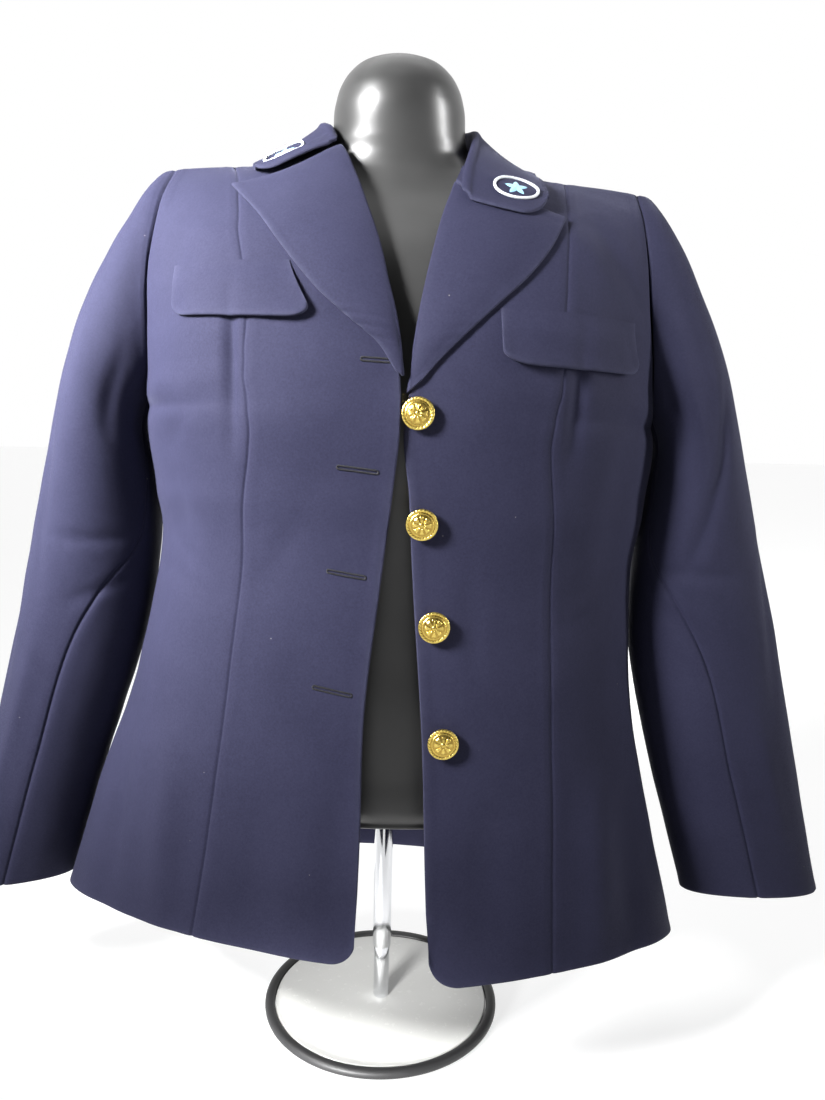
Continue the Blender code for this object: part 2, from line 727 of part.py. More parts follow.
def sleeve_points(side, share, angle):
    """World points in metres and outward unit normals of the sleeve's middle surface."""
    step = 2e-3
    share, angle = np.broadcast_arrays(np.asarray(share, float), np.asarray(angle, float))
    points = sleeve_surface(side, share, angle)
    low, high = np.clip(share - step, 0.0, 1.0), np.clip(share + step, 0.0, 1.0)
    down = sleeve_surface(side, high, angle) - sleeve_surface(side, low, angle)
    around = sleeve_surface(side, share, angle + step) - sleeve_surface(side, share, angle - step)
    normals = unit(np.cross(around, down))
    outward = (normals[..., 0] * np.cos(angle) + normals[..., 1] * np.sin(angle)).sum()
    normals *= np.sign(outward)
    turned = np.array([SIDES[side], -1.0, 1.0])
    return points * turned * MM, normals * turned


def build_sleeves(side):
    share = SLEEVE_SHARES
    seam_front, seam_back = np.radians(np.moveaxis(smooth_line(SLEEVE_SEAMS, share), -1, 0))
    gap = SEAM_GAP / MM / 2 / SLEEVE_RADIUS * SLEEVE_GAP_SLACK
    for name, start, end, columns in (
        (f"sleeve_top_{side}", seam_back - 2 * math.pi + gap, seam_front - gap, 12),
        (f"sleeve_under_{side}", seam_front + gap, seam_back - gap, 8),
    ):
        angle = start[:, None] + (end - start)[:, None] * np.linspace(0, 1, columns)
        middle, normals = sleeve_points(side, share[:, None], angle)
        wall(name, middle, normals)


def locate(side, out, up):
    """Level and share on the front's surface of the point seen from ahead at (out, up) in mm, by Newton's method."""
    step = 1e-4
    level = np.interp(up, (SIDE_SEAM[side][0][3], SHOULDER_END[side][2]), (0.0, SHOULDER))
    across = np.clip(np.asarray(out, float) / ARMPIT_POINT[side][0], 0.0, 1.0)
    target = np.stack([out, up], -1)
    for _ in range(SEARCH_ROUNDS):
        here = body_surface(side, "front", level, across)[..., [0, 2]]
        rise = (body_surface(side, "front", level + step, across)[..., [0, 2]] - here) / step
        run = (body_surface(side, "front", level, across + step)[..., [0, 2]] - here) / step
        error = target - here
        scale = rise[..., 0] * run[..., 1] - rise[..., 1] * run[..., 0]
        level = level + np.clip((error[..., 0] * run[..., 1] - error[..., 1] * run[..., 0]) / scale, -0.2, 0.2)
        across = across + np.clip((rise[..., 0] * error[..., 1] - rise[..., 1] * error[..., 0]) / scale, -0.1, 0.1)
        level, across = np.clip(level, 0.0, SHOULDER - 2 * step), np.clip(across, -0.05, 1.0)
    return level, across


def grid_normals(points, toward):
    """Unit normals of a grid of points, all on the side of the given directions."""
    normals = unit(np.cross(np.gradient(points, axis=0), np.gradient(points, axis=1)))
    return normals * np.sign((normals * toward).sum())


def lapel_grid(side, rows=16, columns=8):
    """The lapel's middle surface: lines from the roll line to the free edge on the front, lifted off it."""
    share = np.linspace(0, 1, rows)
    start, end = LAPEL_LEVELS[side]
    roll_level = start + (end - start) * share
    edge_level, edge_across = locate(side, *np.moveaxis(smooth_line(LAPEL_EDGE[side], share), -1, 0))
    u = np.linspace(0, 1, columns)
    level = roll_level[:, None] + (edge_level - roll_level)[:, None] * u
    points, normals = body_points(side, "front", level, edge_across[:, None] * u)
    puff = LAPEL_PUFF * MM * np.sin(math.pi * u**LAPEL_LEAN) * smooth_step(share / LAPEL_PUFF_START)[:, None]
    lift = CLOTH + REST_GAP + LAPEL_TOP_LIFT * MM * share[:, None] ** 2 + puff
    points = points + normals * lift[..., None]
    return points, grid_normals(points, normals)


def build_lapel(side):
    wall(f"lapel_{side}", *lapel_grid(side))


def build_flap(side):
    """The pocket flap: its four corners on the front, the lower two rounded, lifted off towards its lower edge."""
    corners = np.array(FLAP[side], float)
    level, across = locate(side, corners[:, 0], corners[:, 1])
    u, v = np.meshgrid(np.linspace(0, 1, 13), np.linspace(0, 1, 6), indexing="xy")
    past = np.clip((np.abs(2 * u - 1) - 1 + 2 * FLAP_CORNER) / (2 * FLAP_CORNER), 0.0, 1.0)
    v = v * (1 - FLAP_CORNER * FLAP_ROUNDING * (1 - np.sqrt(1 - past**2)))

    def between(values):
        top = values[0] + (values[1] - values[0]) * u
        return top + (values[3] + (values[2] - values[3]) * u - top) * v

    points, normals = body_points(side, "front", between(level), between(across))
    lift = (CLOTH + FLAP_WALL) / 2 + REST_GAP + FLAP_LIFT * MM * v**2
    points = points + normals * lift[..., None]
    wall(f"flap_{side}", points, grid_normals(points, normals), FLAP_WALL)


def neckline(share):
    """World points in metres and normals of the neckline, from the right end of the collar, -1, to the left, 1."""
    size = np.abs(share)
    found = np.zeros((2, len(share), 3))
    for side, sign in SIDES.items():
        back_level = np.interp(size, (0, 0.2, 0.4, COLLAR_SHOULDER), (SPINE[-1][0], 2.85, 2.93, SHOULDER))
        front_level = np.interp(size, (COLLAR_SHOULDER, 1.0), (SHOULDER, COLLAR_END_LEVEL[side]))
        back = np.stack(body_points(side, "back", back_level, 0.0))
        front = np.stack(body_points(side, "front", front_level, 0.0))
        here = np.where((size > COLLAR_SHOULDER)[:, None], front, back)
        found = np.where((share * sign > 0)[:, None] | ((share == 0)[:, None] & (sign > 0)), here, found)
    return found


def settle(points, support, clearance, reach):
    """Moves the points that lie over a surface, or within reach of its edge, out along its normal to clear it."""
    places, normals = (values.reshape(-1, 3) for values in support)
    flat = points.reshape(-1, 3)
    nearest = np.array([np.argmin(((places - point) ** 2).sum(-1)) for point in flat])
    away = flat - places[nearest]
    height = (away * normals[nearest]).sum(-1)
    aside = np.linalg.norm(away - height[:, None] * normals[nearest], axis=-1)
    lift = np.where(aside < reach, np.clip(clearance - height, 0.0, None), 0.0)
    return (flat + normals[nearest] * lift[:, None]).reshape(points.shape)


def body_support(side, face):
    level = np.linspace(SUPPORT_FROM, SHOULDER, SUPPORT_ROWS)[:, None]
    return body_points(side, face, level, np.linspace(0, 1, SUPPORT_ROWS)[None, :])


def build_collar():
    share = COLLAR_SHARES[:, None]
    u = COLLAR_ACROSS[None, :]
    past_edge = np.clip((u - COLLAR_LOBE) / (1 - COLLAR_LOBE), 0.0, 1.0)
    past_fold = np.clip((COLLAR_LOBE - u) / (COLLAR_LOBE - COLLAR_STAND), 0.0, 1.0)
    rounded = COLLAR_EDGE_ROUND * (1 - np.sqrt(1 - past_edge**2))
    rounded = rounded + COLLAR_FOLD_ROUND * (1 - np.sqrt(1 - past_fold**2))
    share = np.sign(share) * (np.abs(share) - rounded * np.abs(share) ** COLLAR_END_POWER)
    sections = smooth_line(COLLAR, share) * np.array([1, -1, 1, 1, -1, 1]) * MM
    fold, edge = sections[..., :3], sections[..., 3:]
    base, base_normals = (values[:, None] * np.ones_like(fold) for values in neckline(share[:, 0]))
    lying = smooth_step((np.abs(share[:, :1]) - COLLAR_SHOULDER) / COLLAR_LIES_BY)[..., None]
    clear = (CLOTH + COLLAR_WALL) / 2 + COLLAR_GAP
    seam = clear + (SEAM_GAP - COLLAR_GAP) * (1 - lying)
    base = base + unit(unit(fold - base) * (1 - lying) + base_normals * lying) * seam
    outward = unit((edge - fold) * np.array([1, 1, 0]))
    crest = COLLAR_CREST * MM
    turn = np.clip((u - COLLAR_STAND) / COLLAR_TURN, 0.0, 1.0)[..., None] * math.pi
    up = np.array([0.0, 0.0, 1.0])
    bend = fold + outward * crest * (1 - np.cos(turn)) + up * crest * np.sin(turn)
    stand = base + (fold - base) * np.clip(u / COLLAR_STAND, 0.0, 1.0)[..., None]
    down = np.clip((u - COLLAR_STAND - COLLAR_TURN) / (1 - COLLAR_STAND - COLLAR_TURN), 0.0, 1.0)[..., None]
    fall = bend + (edge - bend) * down
    points = np.where((u < COLLAR_STAND)[..., None], stand, fall)
    over = (u > COLLAR_STAND + COLLAR_TURN * COLLAR_TURN_FREE) | (np.abs(share) > COLLAR_END_FROM)
    for side in SIDES:
        for face in ("front", "back"):
            points[over] = settle(points[over], body_support(side, face), clear, BODY_REACH)
        points[over] = settle(points[over], lapel_grid(side, SUPPORT_ROWS, LAPEL_SUPPORT_COLUMNS), clear, LAPEL_REACH)
    normals = unit(np.cross(np.gradient(points, axis=0), np.gradient(points, axis=1)))
    wall("collar", points, normals, COLLAR_WALL)


def turned(name, profile, look, closed=False, steps=TURNED_STEPS):
    """A turned piece: a profile of (radius, height) in mm, down its outer side, with a Screw modifier."""
    mesh = bpy.data.meshes.new(name)
    points = [(radius * MM, 0.0, height * MM) for radius, height in profile]
    count = len(points)
    edges = [(i, (i + 1) % count) for i in range(count if closed else count - 1)]
    mesh.from_pydata(points, edges, [])
    created = new_object(name, mesh, new_material(name + "_finish", look))
    screw = created.modifiers.new("turn", "SCREW")
    screw.steps = screw.render_steps = steps
    screw.use_merge_vertices = True
    screw.merge_threshold = 1e-5
    screw.use_smooth_shade = True
    return created


def build_buttons():
    """Four domed buttons on shanks, square to the cloth under them."""
    profile = BUTTON_PROFILE
    for number, (out, up) in enumerate(BUTTONS, start=1):
        level, across = locate("left", np.array([out]), np.array([up]))
        point, normal = (Vector(values[0]) for values in body_points("left", "front", level, across))
        button = turned(f"button_{number}", profile, "brass", steps=BUTTON_STEPS)
        button.location = point + normal * (CLOTH / 2 + REST_GAP)
        button.rotation_mode = "QUATERNION"
        button.rotation_quaternion = normal.to_track_quat("Z", "Y")


def build_form():
    """The limbless torso: rounded level sections joined into one closed skin."""
    sections = np.array(FORM_SECTIONS, float)
    up, half_width, front, back, square = (column[:, None] for column in sections.T)
    angle = np.linspace(0, 2 * math.pi, FORM_SIDES, endpoint=False)[None, :]
    cosine, sine = np.cos(angle), np.sin(angle)
    x = FORM_CENTRE_OUT + half_width * np.sign(cosine) * np.abs(cosine) ** (2 / square)
    y = np.where(sine < 0, front, back) * np.sign(sine) * np.abs(sine) ** (2 / square)
    points = np.stack([x, y, up + 0 * x], -1).reshape(-1, 3) * MM
    rings = len(sections)
    index = np.arange(rings * FORM_SIDES).reshape(rings, FORM_SIDES)
    after = np.roll(index, -1, axis=1)
    skin = np.stack([index[:-1], after[:-1], after[1:], index[1:]], -1).reshape(-1, 4).tolist()
    mesh = bpy.data.meshes.new("dress_form")
    mesh.from_pydata(points.tolist(), [], [*skin, index[0, ::-1].tolist(), index[-1].tolist()])
    new_object("dress_form", mesh, new_material("dress_form_finish", "form"))


def build_stand():
    """The two tubes, the upper one bored to take the lower, and the round plate with its rubber ring."""
    top = FORM_SECTIONS[0][0] - SEAM_GAP / MM
    bore_top = POLE_STEP_UP + POLE_OVERLAP
    upper = (
        (0, top), (POLE_UPPER_RADIUS, top), (POLE_UPPER_RADIUS, POLE_STEP_UP), (POLE_BORE_RADIUS, POLE_STEP_UP),
        (POLE_BORE_RADIUS, bore_top), (0, bore_top),
    )
    turned("pole_upper", upper, "chrome", steps=32)
    rod_top, rod_foot = bore_top - SEAM_GAP / MM, PLATE_TOP + SEAM_GAP / MM
    turned("pole_lower", ((0, rod_top), (POLE_LOWER_RADIUS, rod_top), (POLE_LOWER_RADIUS, rod_foot), (0, rod_foot)),
           "chrome", steps=32)
    plate = ((0, PLATE_TOP), (PLATE_RADIUS - 1, PLATE_TOP), (PLATE_RADIUS, PLATE_TOP - 1), (PLATE_RADIUS, 0), (0, 0))
    turned("base_plate", plate, "plate")
    inside, middle = PLATE_RADIUS + SEAM_GAP / MM, (PLATE_RADIUS + RIM_RADIUS) / 2
    rim = (
        (inside, RIM_TOP - 1.5), (inside + 1.5, RIM_TOP), (middle + 2, RIM_TOP), (RIM_RADIUS - 1, RIM_TOP - 2.5),
        (RIM_RADIUS, RIM_TOP / 2), (RIM_RADIUS - 1.5, 0), (inside, 0),
    )
    turned("base_rim", rim, "rubber", closed=True)


def clear_scene():
    for existing in list(bpy.data.objects):
        bpy.data.objects.remove(existing)


def main():
    for side in SIDES:
        build_fronts(side)
        build_back(side)
        build_sleeves(side)
        build_lapel(side)
        build_flap(side)
    build_collar()
    build_buttons()
    build_form()
    build_stand()


clear_scene()
PARTS = bpy.data.collections.new("naval_jacket_on_form")
bpy.context.scene.collection.children.link(PARTS)
main()
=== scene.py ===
"""Looks for a women's naval uniform jacket, worn open by a limbless dress form on its stand.

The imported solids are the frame. Every cloth piece is rebuilt here as a fine shell from the same guide tables as the
solids, in millimetres from the stand's axis: out to the wearer's own side, away to the front or the back, and up.
The cloth's surface runs in levels: 0 is the hem, 1 the waist, 2 the armpit and 3 the shoulder seam. World axes are
in metres: the jacket's front faces -Y, the wearer's left is +X and +Z is up.
"""

from __future__ import annotations

import logging
import math
from dataclasses import dataclass, field
from enum import Enum
from typing import Callable

import bpy
import numpy as np
from mathutils import Matrix, Vector

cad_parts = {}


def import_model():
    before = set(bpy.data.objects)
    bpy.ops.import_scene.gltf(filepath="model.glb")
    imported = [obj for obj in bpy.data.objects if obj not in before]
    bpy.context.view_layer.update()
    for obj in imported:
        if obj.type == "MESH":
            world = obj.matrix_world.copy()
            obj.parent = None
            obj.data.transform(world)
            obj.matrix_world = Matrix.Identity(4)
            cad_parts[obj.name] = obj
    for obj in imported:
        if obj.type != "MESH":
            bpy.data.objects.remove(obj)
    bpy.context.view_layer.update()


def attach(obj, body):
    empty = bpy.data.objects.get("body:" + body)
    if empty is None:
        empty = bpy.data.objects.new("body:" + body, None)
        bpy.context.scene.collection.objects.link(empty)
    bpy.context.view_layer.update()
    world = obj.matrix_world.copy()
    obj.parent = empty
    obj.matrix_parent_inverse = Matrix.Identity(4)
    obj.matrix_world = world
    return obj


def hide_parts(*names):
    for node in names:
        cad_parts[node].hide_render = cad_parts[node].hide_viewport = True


Array = np.ndarray
Rows = tuple[tuple[float, ...], ...]
Colour = tuple[float, float, float, float]
Place = tuple[float, float, float]
Socket = bpy.types.NodeSocket
LOG = logging.getLogger("naval_jacket")

MM = 0.001
CLOTH = 2.0 * MM
SHOULDER = 3.0
ARMPIT = 2.0


class Side(Enum):
    """The wearer's two sides; the value is the sign of world X."""

    RIGHT = -1.0
    LEFT = 1.0

    @property
    def word(self) -> str:
        """The side's name as it stands in the pieces' names."""
        return self.name.lower()


class Face(Enum):
    """The front and the back of the body; the value is the sign of world Y."""

    FRONT = -1.0
    BACK = 1.0


class Edge(Enum):
    """How one edge of a cut piece is finished."""

    TURNED = "folded under and pressed"
    SEAM = "sewn to its neighbour"
    TUCKED = "hidden under another piece"


SHOULDER_NECK = {Side.RIGHT: (58, 0, 752), Side.LEFT: (62, 0, 748)}
SHOULDER_END = {Side.RIGHT: (177, 0, 729), Side.LEFT: (194, 0, 718)}
ARMPIT_POINT = {Side.RIGHT: (198, 0, 539), Side.LEFT: (214, 0, 530)}

# Front edge from the hem to the break of the lapel, then the roll line to the neck: level, out, away, up
FRONT_EDGE: dict[Side, Rows] = {
    Side.RIGHT: (
        (0.00, 18, 132, 118), (0.35, 15, 127, 218), (0.70, 13, 121, 322), (1.00, 3, 118, 415),
        (1.50, -5, 122, 485), (2.00, -9.5, 126, 551), (2.15, -8, 122, 577), (2.30, -6, 117, 594),
        (2.45, -2, 110, 614), (2.60, 4, 102, 636), (2.75, 10.5, 90, 661), (2.87, 20, 75, 688),
        (2.93, 31, 58, 716), (2.97, 42, 40, 738), (3.00, *SHOULDER_NECK[Side.RIGHT]),
    ),
    Side.LEFT: (
        (0.00, 40, 131, 100), (0.35, 35, 126, 190), (0.70, 30, 119, 300), (1.00, 22, 115, 400),
        (1.50, 17, 118, 478), (2.00, 13, 121, 545), (2.15, 18, 119, 571), (2.30, 20, 115, 592),
        (2.45, 24, 107, 617), (2.65, 31.5, 93, 653), (2.82, 41, 71, 691), (2.92, 50, 48, 717),
        (2.97, 56, 29, 734), (3.00, *SHOULDER_NECK[Side.LEFT]),
    ),
}

# Side seam, shared by front and back: level, out, away, up
SIDE_SEAM: dict[Side, Rows] = {
    Side.RIGHT: (
        (0.00, 277, 0, 118), (0.35, 249, 0, 217), (0.70, 214, 0, 320), (1.00, 193, 0, 415),
        (1.50, 194, 0, 478), (2.00, *ARMPIT_POINT[Side.RIGHT]),
    ),
    Side.LEFT: (
        (0.00, 259, 0, 81), (0.35, 235, 0, 183), (0.70, 211, 0, 297), (1.00, 204, 0, 390),
        (1.50, 211, 0, 465), (2.00, *ARMPIT_POINT[Side.LEFT]),
    ),
}

# Armhole above the armpit, on the front and on the back: level, out, away, up
ARMHOLE: dict[tuple[Side, Face], Rows] = {
    (Side.RIGHT, Face.FRONT): (
        (2.08, 196, 22, 549), (2.20, 191, 40, 572), (2.40, 188, 51, 606), (2.60, 187, 52, 640),
        (2.80, 183, 42, 680), (2.92, 180, 26, 707), (3.00, *SHOULDER_END[Side.RIGHT]),
    ),
    (Side.RIGHT, Face.BACK): (
        (2.08, 196, 23, 549), (2.20, 192, 42, 573), (2.40, 187, 54, 609), (2.60, 184, 54, 645),
        (2.80, 181, 42, 685), (2.92, 179, 25, 709), (3.00, *SHOULDER_END[Side.RIGHT]),
    ),
    (Side.LEFT, Face.FRONT): (
        (2.08, 211, 22, 541), (2.20, 206, 40, 564), (2.40, 201, 52, 598), (2.60, 197, 52, 634),
        (2.80, 195, 42, 670), (2.92, 194, 25, 697), (3.00, *SHOULDER_END[Side.LEFT]),
    ),
    (Side.LEFT, Face.BACK): (
        (2.08, 211, 23, 541), (2.20, 207, 42, 565), (2.40, 202, 54, 601), (2.60, 199, 54, 637),
        (2.80, 196, 42, 675), (2.92, 195, 25, 699), (3.00, *SHOULDER_END[Side.LEFT]),
    ),
}

# Centre back seam, then the back of the neckline: level, out, away, up
SPINE: Rows = (
    (0.00, 0, 112, 99), (0.35, 0, 104, 218), (0.70, 0, 92, 320), (1.00, 0, 84, 415), (1.50, 0, 92, 482),
    (2.00, 0, 103, 550), (2.30, 0, 104, 612), (2.50, 0, 97, 672), (2.62, 0, 84, 718), (2.72, 0, 67, 756),
)
BACK_NECK: dict[Side, Rows] = {
    Side.RIGHT: ((2.85, 28, 59, 755), (2.93, 46, 38, 753), (3.00, *SHOULDER_NECK[Side.RIGHT])),
    Side.LEFT: ((2.85, 30, 59, 754), (2.93, 49, 38, 751), (3.00, *SHOULDER_NECK[Side.LEFT])),
}

# How each level's line swells between its two ends: level, edge pull, bump, side pull, turn in degrees, edge lift,
# side lift. The pulls are the lengths of the curve's handles as shares of the span
SECTION: dict[Face, Rows] = {
    Face.FRONT: (
        (0.00, 0.60, 0, 0.60, 0, 20, 34), (0.35, 0.60, 0, 0.60, 0, 7, 12), (0.70, 0.58, 1, 0.58, 0, 0, 0),
        (1.00, 0.56, 2, 0.58, 0, 0, 0), (1.50, 0.58, 5, 0.62, 0, 0, 0), (1.80, 0.58, 6.8, 0.63, 1, 0, 0),
        (2.00, 0.58, 8, 0.63, 4, 0, 0), (2.08, 0.56, 8.4, 0.545, 9, 0, 0), (2.20, 0.52, 9, 0.46, 22, 0, 0),
        (2.40, 0.50, 10, 0.45, 38, 2, 2), (2.60, 0.46, 9, 0.42, 48, 3, 4),
        (2.80, 0.40, 7, 0.38, 60, 0, 4), (2.93, 0.35, 2, 0.34, 78, -10, -1), (3.00, 0.333, 0, 0.333, 90, -20, -2),
    ),
    Face.BACK: (
        (0.00, 0.58, 0, 0.60, 0, 0, 4), (0.50, 0.58, 0, 0.60, 0, 0, 0), (1.00, 0.56, 0, 0.58, 0, 0, 0),
        (1.50, 0.60, 0, 0.60, 0, 0, 0), (1.80, 0.61, 0, 0.64, 1, 0, 0), (2.00, 0.62, 0, 0.66, 4, 0, 0),
        (2.08, 0.61, 0, 0.53, 9, 0, 0), (2.20, 0.60, 0, 0.44, 24, 0, 0), (2.40, 0.56, 0, 0.43, 40, 0, 0),
        (2.60, 0.50, 0, 0.42, 52, 0, 4), (2.80, 0.42, 0, 0.38, 66, -6, 2),
        (2.93, 0.35, 0, 0.34, 80, -14, -1), (3.00, 0.333, 0, 0.333, 90, -20, -2),
    ),
}

# Where the princess seam crosses each level, as a share of the way from the front edge to the side: level, share
PRINCESS: dict[Side, Rows] = {
    Side.RIGHT: (
        (0, 0.308), (0.3, 0.312), (0.6, 0.333), (0.9, 0.362), (1.2, 0.372), (1.5, 0.357), (1.75, 0.339),
        (1.92, 0.336), (2.04, 0.355), (2.14, 0.391), (2.24, 0.423), (2.36, 0.441), (2.5, 0.465), (2.65, 0.506),
        (2.8, 0.566), (2.9, 0.59), (3, 0.6),
    ),
    Side.LEFT: (
        (0, 0.274), (0.3, 0.305), (0.6, 0.348), (0.9, 0.375), (1.2, 0.374), (1.5, 0.355), (1.75, 0.341),
        (1.92, 0.342), (2.04, 0.364), (2.14, 0.403), (2.24, 0.442), (2.36, 0.473), (2.5, 0.505), (2.65, 0.533),
        (2.8, 0.553), (2.9, 0.562), (3, 0.56),
    ),
}

# Furrows of the front seen from ahead: out and up of the start, out and up of the end, width, depth. The first five
# of each side are the solids' own folds; the rest are too shallow for them
FOLDS: dict[Side, Rows] = {
    Side.RIGHT: (
        (114, 650, 112, 505, 5.5, 5.0), (168, 560, 160, 380, 14, 3.4), (205, 330, 228, 120, 13, 5.0),
        (166, 300, 176, 120, 14, -5.0), (92, 260, 96, 120, 20, 3.0),
        (150, 690, 176, 560, 9, 1.4), (60, 470, 95, 405, 10, 0.9), (186, 450, 120, 405, 8, 1.0),
        (190, 420, 110, 392, 7, 0.8), (30, 300, 38, 140, 12, 1.2), (130, 560, 182, 500, 8, 0.9),
    ),
    Side.LEFT: (
        (140, 620, 134, 500, 6.5, 4.6), (186, 560, 172, 400, 15, 3.4), (196, 250, 214, 85, 14, 4.5),
        (168, 270, 178, 95, 14, -4.0), (80, 250, 86, 100, 20, 3.0),
        (158, 660, 190, 550, 9, 1.4), (200, 430, 130, 400, 8, 1.0), (196, 400, 120, 378, 7, 0.8),
        (164, 610, 166, 535, 15, 2.6), (60, 440, 70, 330, 9, 0.9),
        (146, 692, 196, 618, 9, 2.6), (124, 684, 188, 606, 9, -1.5),
    ),
}

# Guide lines of the sleeves from the armhole, 0, to the cuff, 1: share, out, away to the front, up
SLEEVE: dict[Side, dict[str, Rows]] = {
    Side.RIGHT: {
        "outer": (
            (0.00, *SHOULDER_END[Side.RIGHT]), (0.03, 189, 0, 724), (0.08, 208, 0, 694), (0.16, 231, 0, 653),
            (0.28, 257, 0, 589), (0.42, 277, 0, 515), (0.58, 303, 0, 413), (0.78, 334, -2, 288),
            (1.00, 383, -4, 112),
        ),
        "front": (
            (0.00, 188, 51, 622), (0.08, 210, 61, 602), (0.16, 228, 65, 574), (0.28, 242, 65, 528),
            (0.42, 249, 60, 466), (0.58, 262, 52, 384), (0.78, 296, 40, 262), (1.00, 336, 32, 124),
        ),
        "inner": (
            (0.00, *ARMPIT_POINT[Side.RIGHT]), (0.08, 203, 0, 524), (0.20, 199, 0, 492), (0.42, 197.5, 0, 424),
            (0.58, 210.5, -2, 350), (0.78, 247.5, -5, 238), (1.00, 283, -8, 120),
        ),
        "back": (
            (0.00, 187, -54, 626), (0.08, 210, -63, 602), (0.16, 228, -68, 572), (0.28, 242, -70, 524),
            (0.42, 249, -70, 460), (0.58, 262, -64, 380), (0.78, 296, -50, 258), (1.00, 336, -42, 110),
        ),
    },
    Side.LEFT: {
        "outer": (
            (0.00, *SHOULDER_END[Side.LEFT]), (0.03, 205.5, 0, 714), (0.08, 226, 0, 684), (0.16, 245, 0, 641),
            (0.28, 269, 0, 583), (0.42, 293, 0, 500), (0.58, 318, 0, 410), (0.78, 351, 0, 278),
            (1.00, 389, 0, 123),
        ),
        "front": (
            (0.00, 200, 52, 616), (0.08, 222, 61, 594), (0.16, 239, 65, 565), (0.28, 252, 65, 518),
            (0.42, 260, 60, 455), (0.58, 270, 53, 376), (0.78, 298, 45, 256), (1.00, 333, 37, 131),
        ),
        "inner": (
            (0.00, *ARMPIT_POINT[Side.LEFT]), (0.08, 219, 0, 515), (0.20, 216.5, 0, 484), (0.42, 210.5, 0, 418),
            (0.58, 211, 0, 346), (0.78, 235, 0, 240), (1.00, 272, 0, 120),
        ),
        "back": (
            (0.00, 201, -54, 618), (0.08, 222, -63, 592), (0.16, 239, -68, 562), (0.28, 252, -70, 514),
            (0.42, 260, -70, 450), (0.58, 270, -62, 372), (0.78, 298, -48, 252), (1.00, 333, -37, 114),
        ),
    },
}

# The two sleeve seams, as angles round the sleeve from its outer line over the front: share, front, back
SLEEVE_SEAMS: Rows = (
    (0.00, 160, 222), (0.30, 160, 226), (0.42, 150, 232), (0.50, 128, 238), (0.60, 107, 244), (0.80, 98, 250),
    (1.00, 96, 254),
)

# Folds of the sleeves: share and angle of the start, share and angle of the end, width, depth
SLEEVE_FOLDS: dict[Side, Rows] = {
    Side.RIGHT: (
        (0.20, 40, 0.62, 62, 9, 2.5), (0.50, 10, 0.80, 40, 10, 2.5), (0.62, 70, 0.92, 60, 9, -2.0),
        (0.40, 150, 0.52, 60, 7, 1.8), (0.46, 160, 0.60, 80, 6, 1.4), (0.05, 110, 0.24, 120, 8, 2.2),
        (0.36, -40, 0.56, -100, 8, 1.8), (0.55, -60, 0.75, -20, 8, 1.3),
    ),
    Side.LEFT: (
        (0.22, 60, 0.48, 120, 10, 3.5), (0.50, 20, 0.75, 50, 10, 2.5), (0.66, 75, 0.94, 62, 9, -2.0),
        (0.42, 150, 0.55, 50, 7, 1.8), (0.48, 150, 0.62, 90, 6, 1.4), (0.04, 120, 0.22, 128, 8, 2.4),
        (0.38, -40, 0.58, -100, 8, 1.8), (0.10, 95, 0.30, 80, 9, 1.6),
    ),
}

# Free edge of each lapel from the break to its peak, as seen from ahead: share, out, up
LAPEL_EDGE: dict[Side, Rows] = {
    Side.RIGHT: (
        (0.00, -5, 571), (0.12, 7, 589), (0.28, 30, 608), (0.45, 52, 627), (0.62, 75, 653), (0.80, 100, 684),
        (1.00, 124, 708),
    ),
    Side.LEFT: (
        (0.00, 24, 565), (0.12, 37, 580), (0.28, 56, 599), (0.45, 79, 621), (0.62, 98, 639), (0.80, 114, 659),
        (1.00, 128, 684),
    ),
}
LAPEL_LEVELS = {Side.RIGHT: (2.10, 2.97), Side.LEFT: (2.07, 2.90)}

# Pocket flaps as seen from ahead: upper inner, upper outer, lower outer and lower inner corner, out and up
FLAP: dict[Side, Rows] = {
    Side.RIGHT: ((72, 647), (160, 645), (161, 608), (52, 605)),
    Side.LEFT: ((79, 617), (181, 611), (184, 572), (82, 578)),
}

# The collar's sections from the right end over the back of the neck to the left end: share, then out to the
# wearer's left, away to the front and up, of the fold and of the fall's free edge
COLLAR: Rows = (
    (-1.00, -43, 47, 737, -107, 46, 711), (-0.88, -47, 31, 752, -111, 20, 729),
    (-0.75, -51, 20, 758, -108, 4, 734), (-0.60, -57, 0, 763, -104, -20, 737),
    (-0.40, -49, -42, 771, -84, -68, 738), (-0.20, -26, -62, 777, -44, -96, 735),
    (0.00, 2, -68, 779, 2, -104, 733), (0.20, 30, -62, 776, 48, -96, 733), (0.40, 53, -42, 769, 88, -66, 732),
    (0.60, 61, 0, 759, 106, -16, 729), (0.75, 58, 29, 742, 113, 28, 721), (0.88, 53, 55, 720, 115, 58, 705),
    (1.00, 50, 79, 693, 112, 82, 683),
)

# Buttons on the wearer's left front and buttonholes on the right front, as seen from ahead: out, up
BUTTONS: Rows = ((22.0, 542.0), (26.5, 463.0), (37.0, 386.0), (46.0, 297.0))
BUTTONHOLES: Rows = ((18, 579, -3, 578), (34, 503, 7, 500), (41, 426, 15, 422), (51, 338, 24, 333))

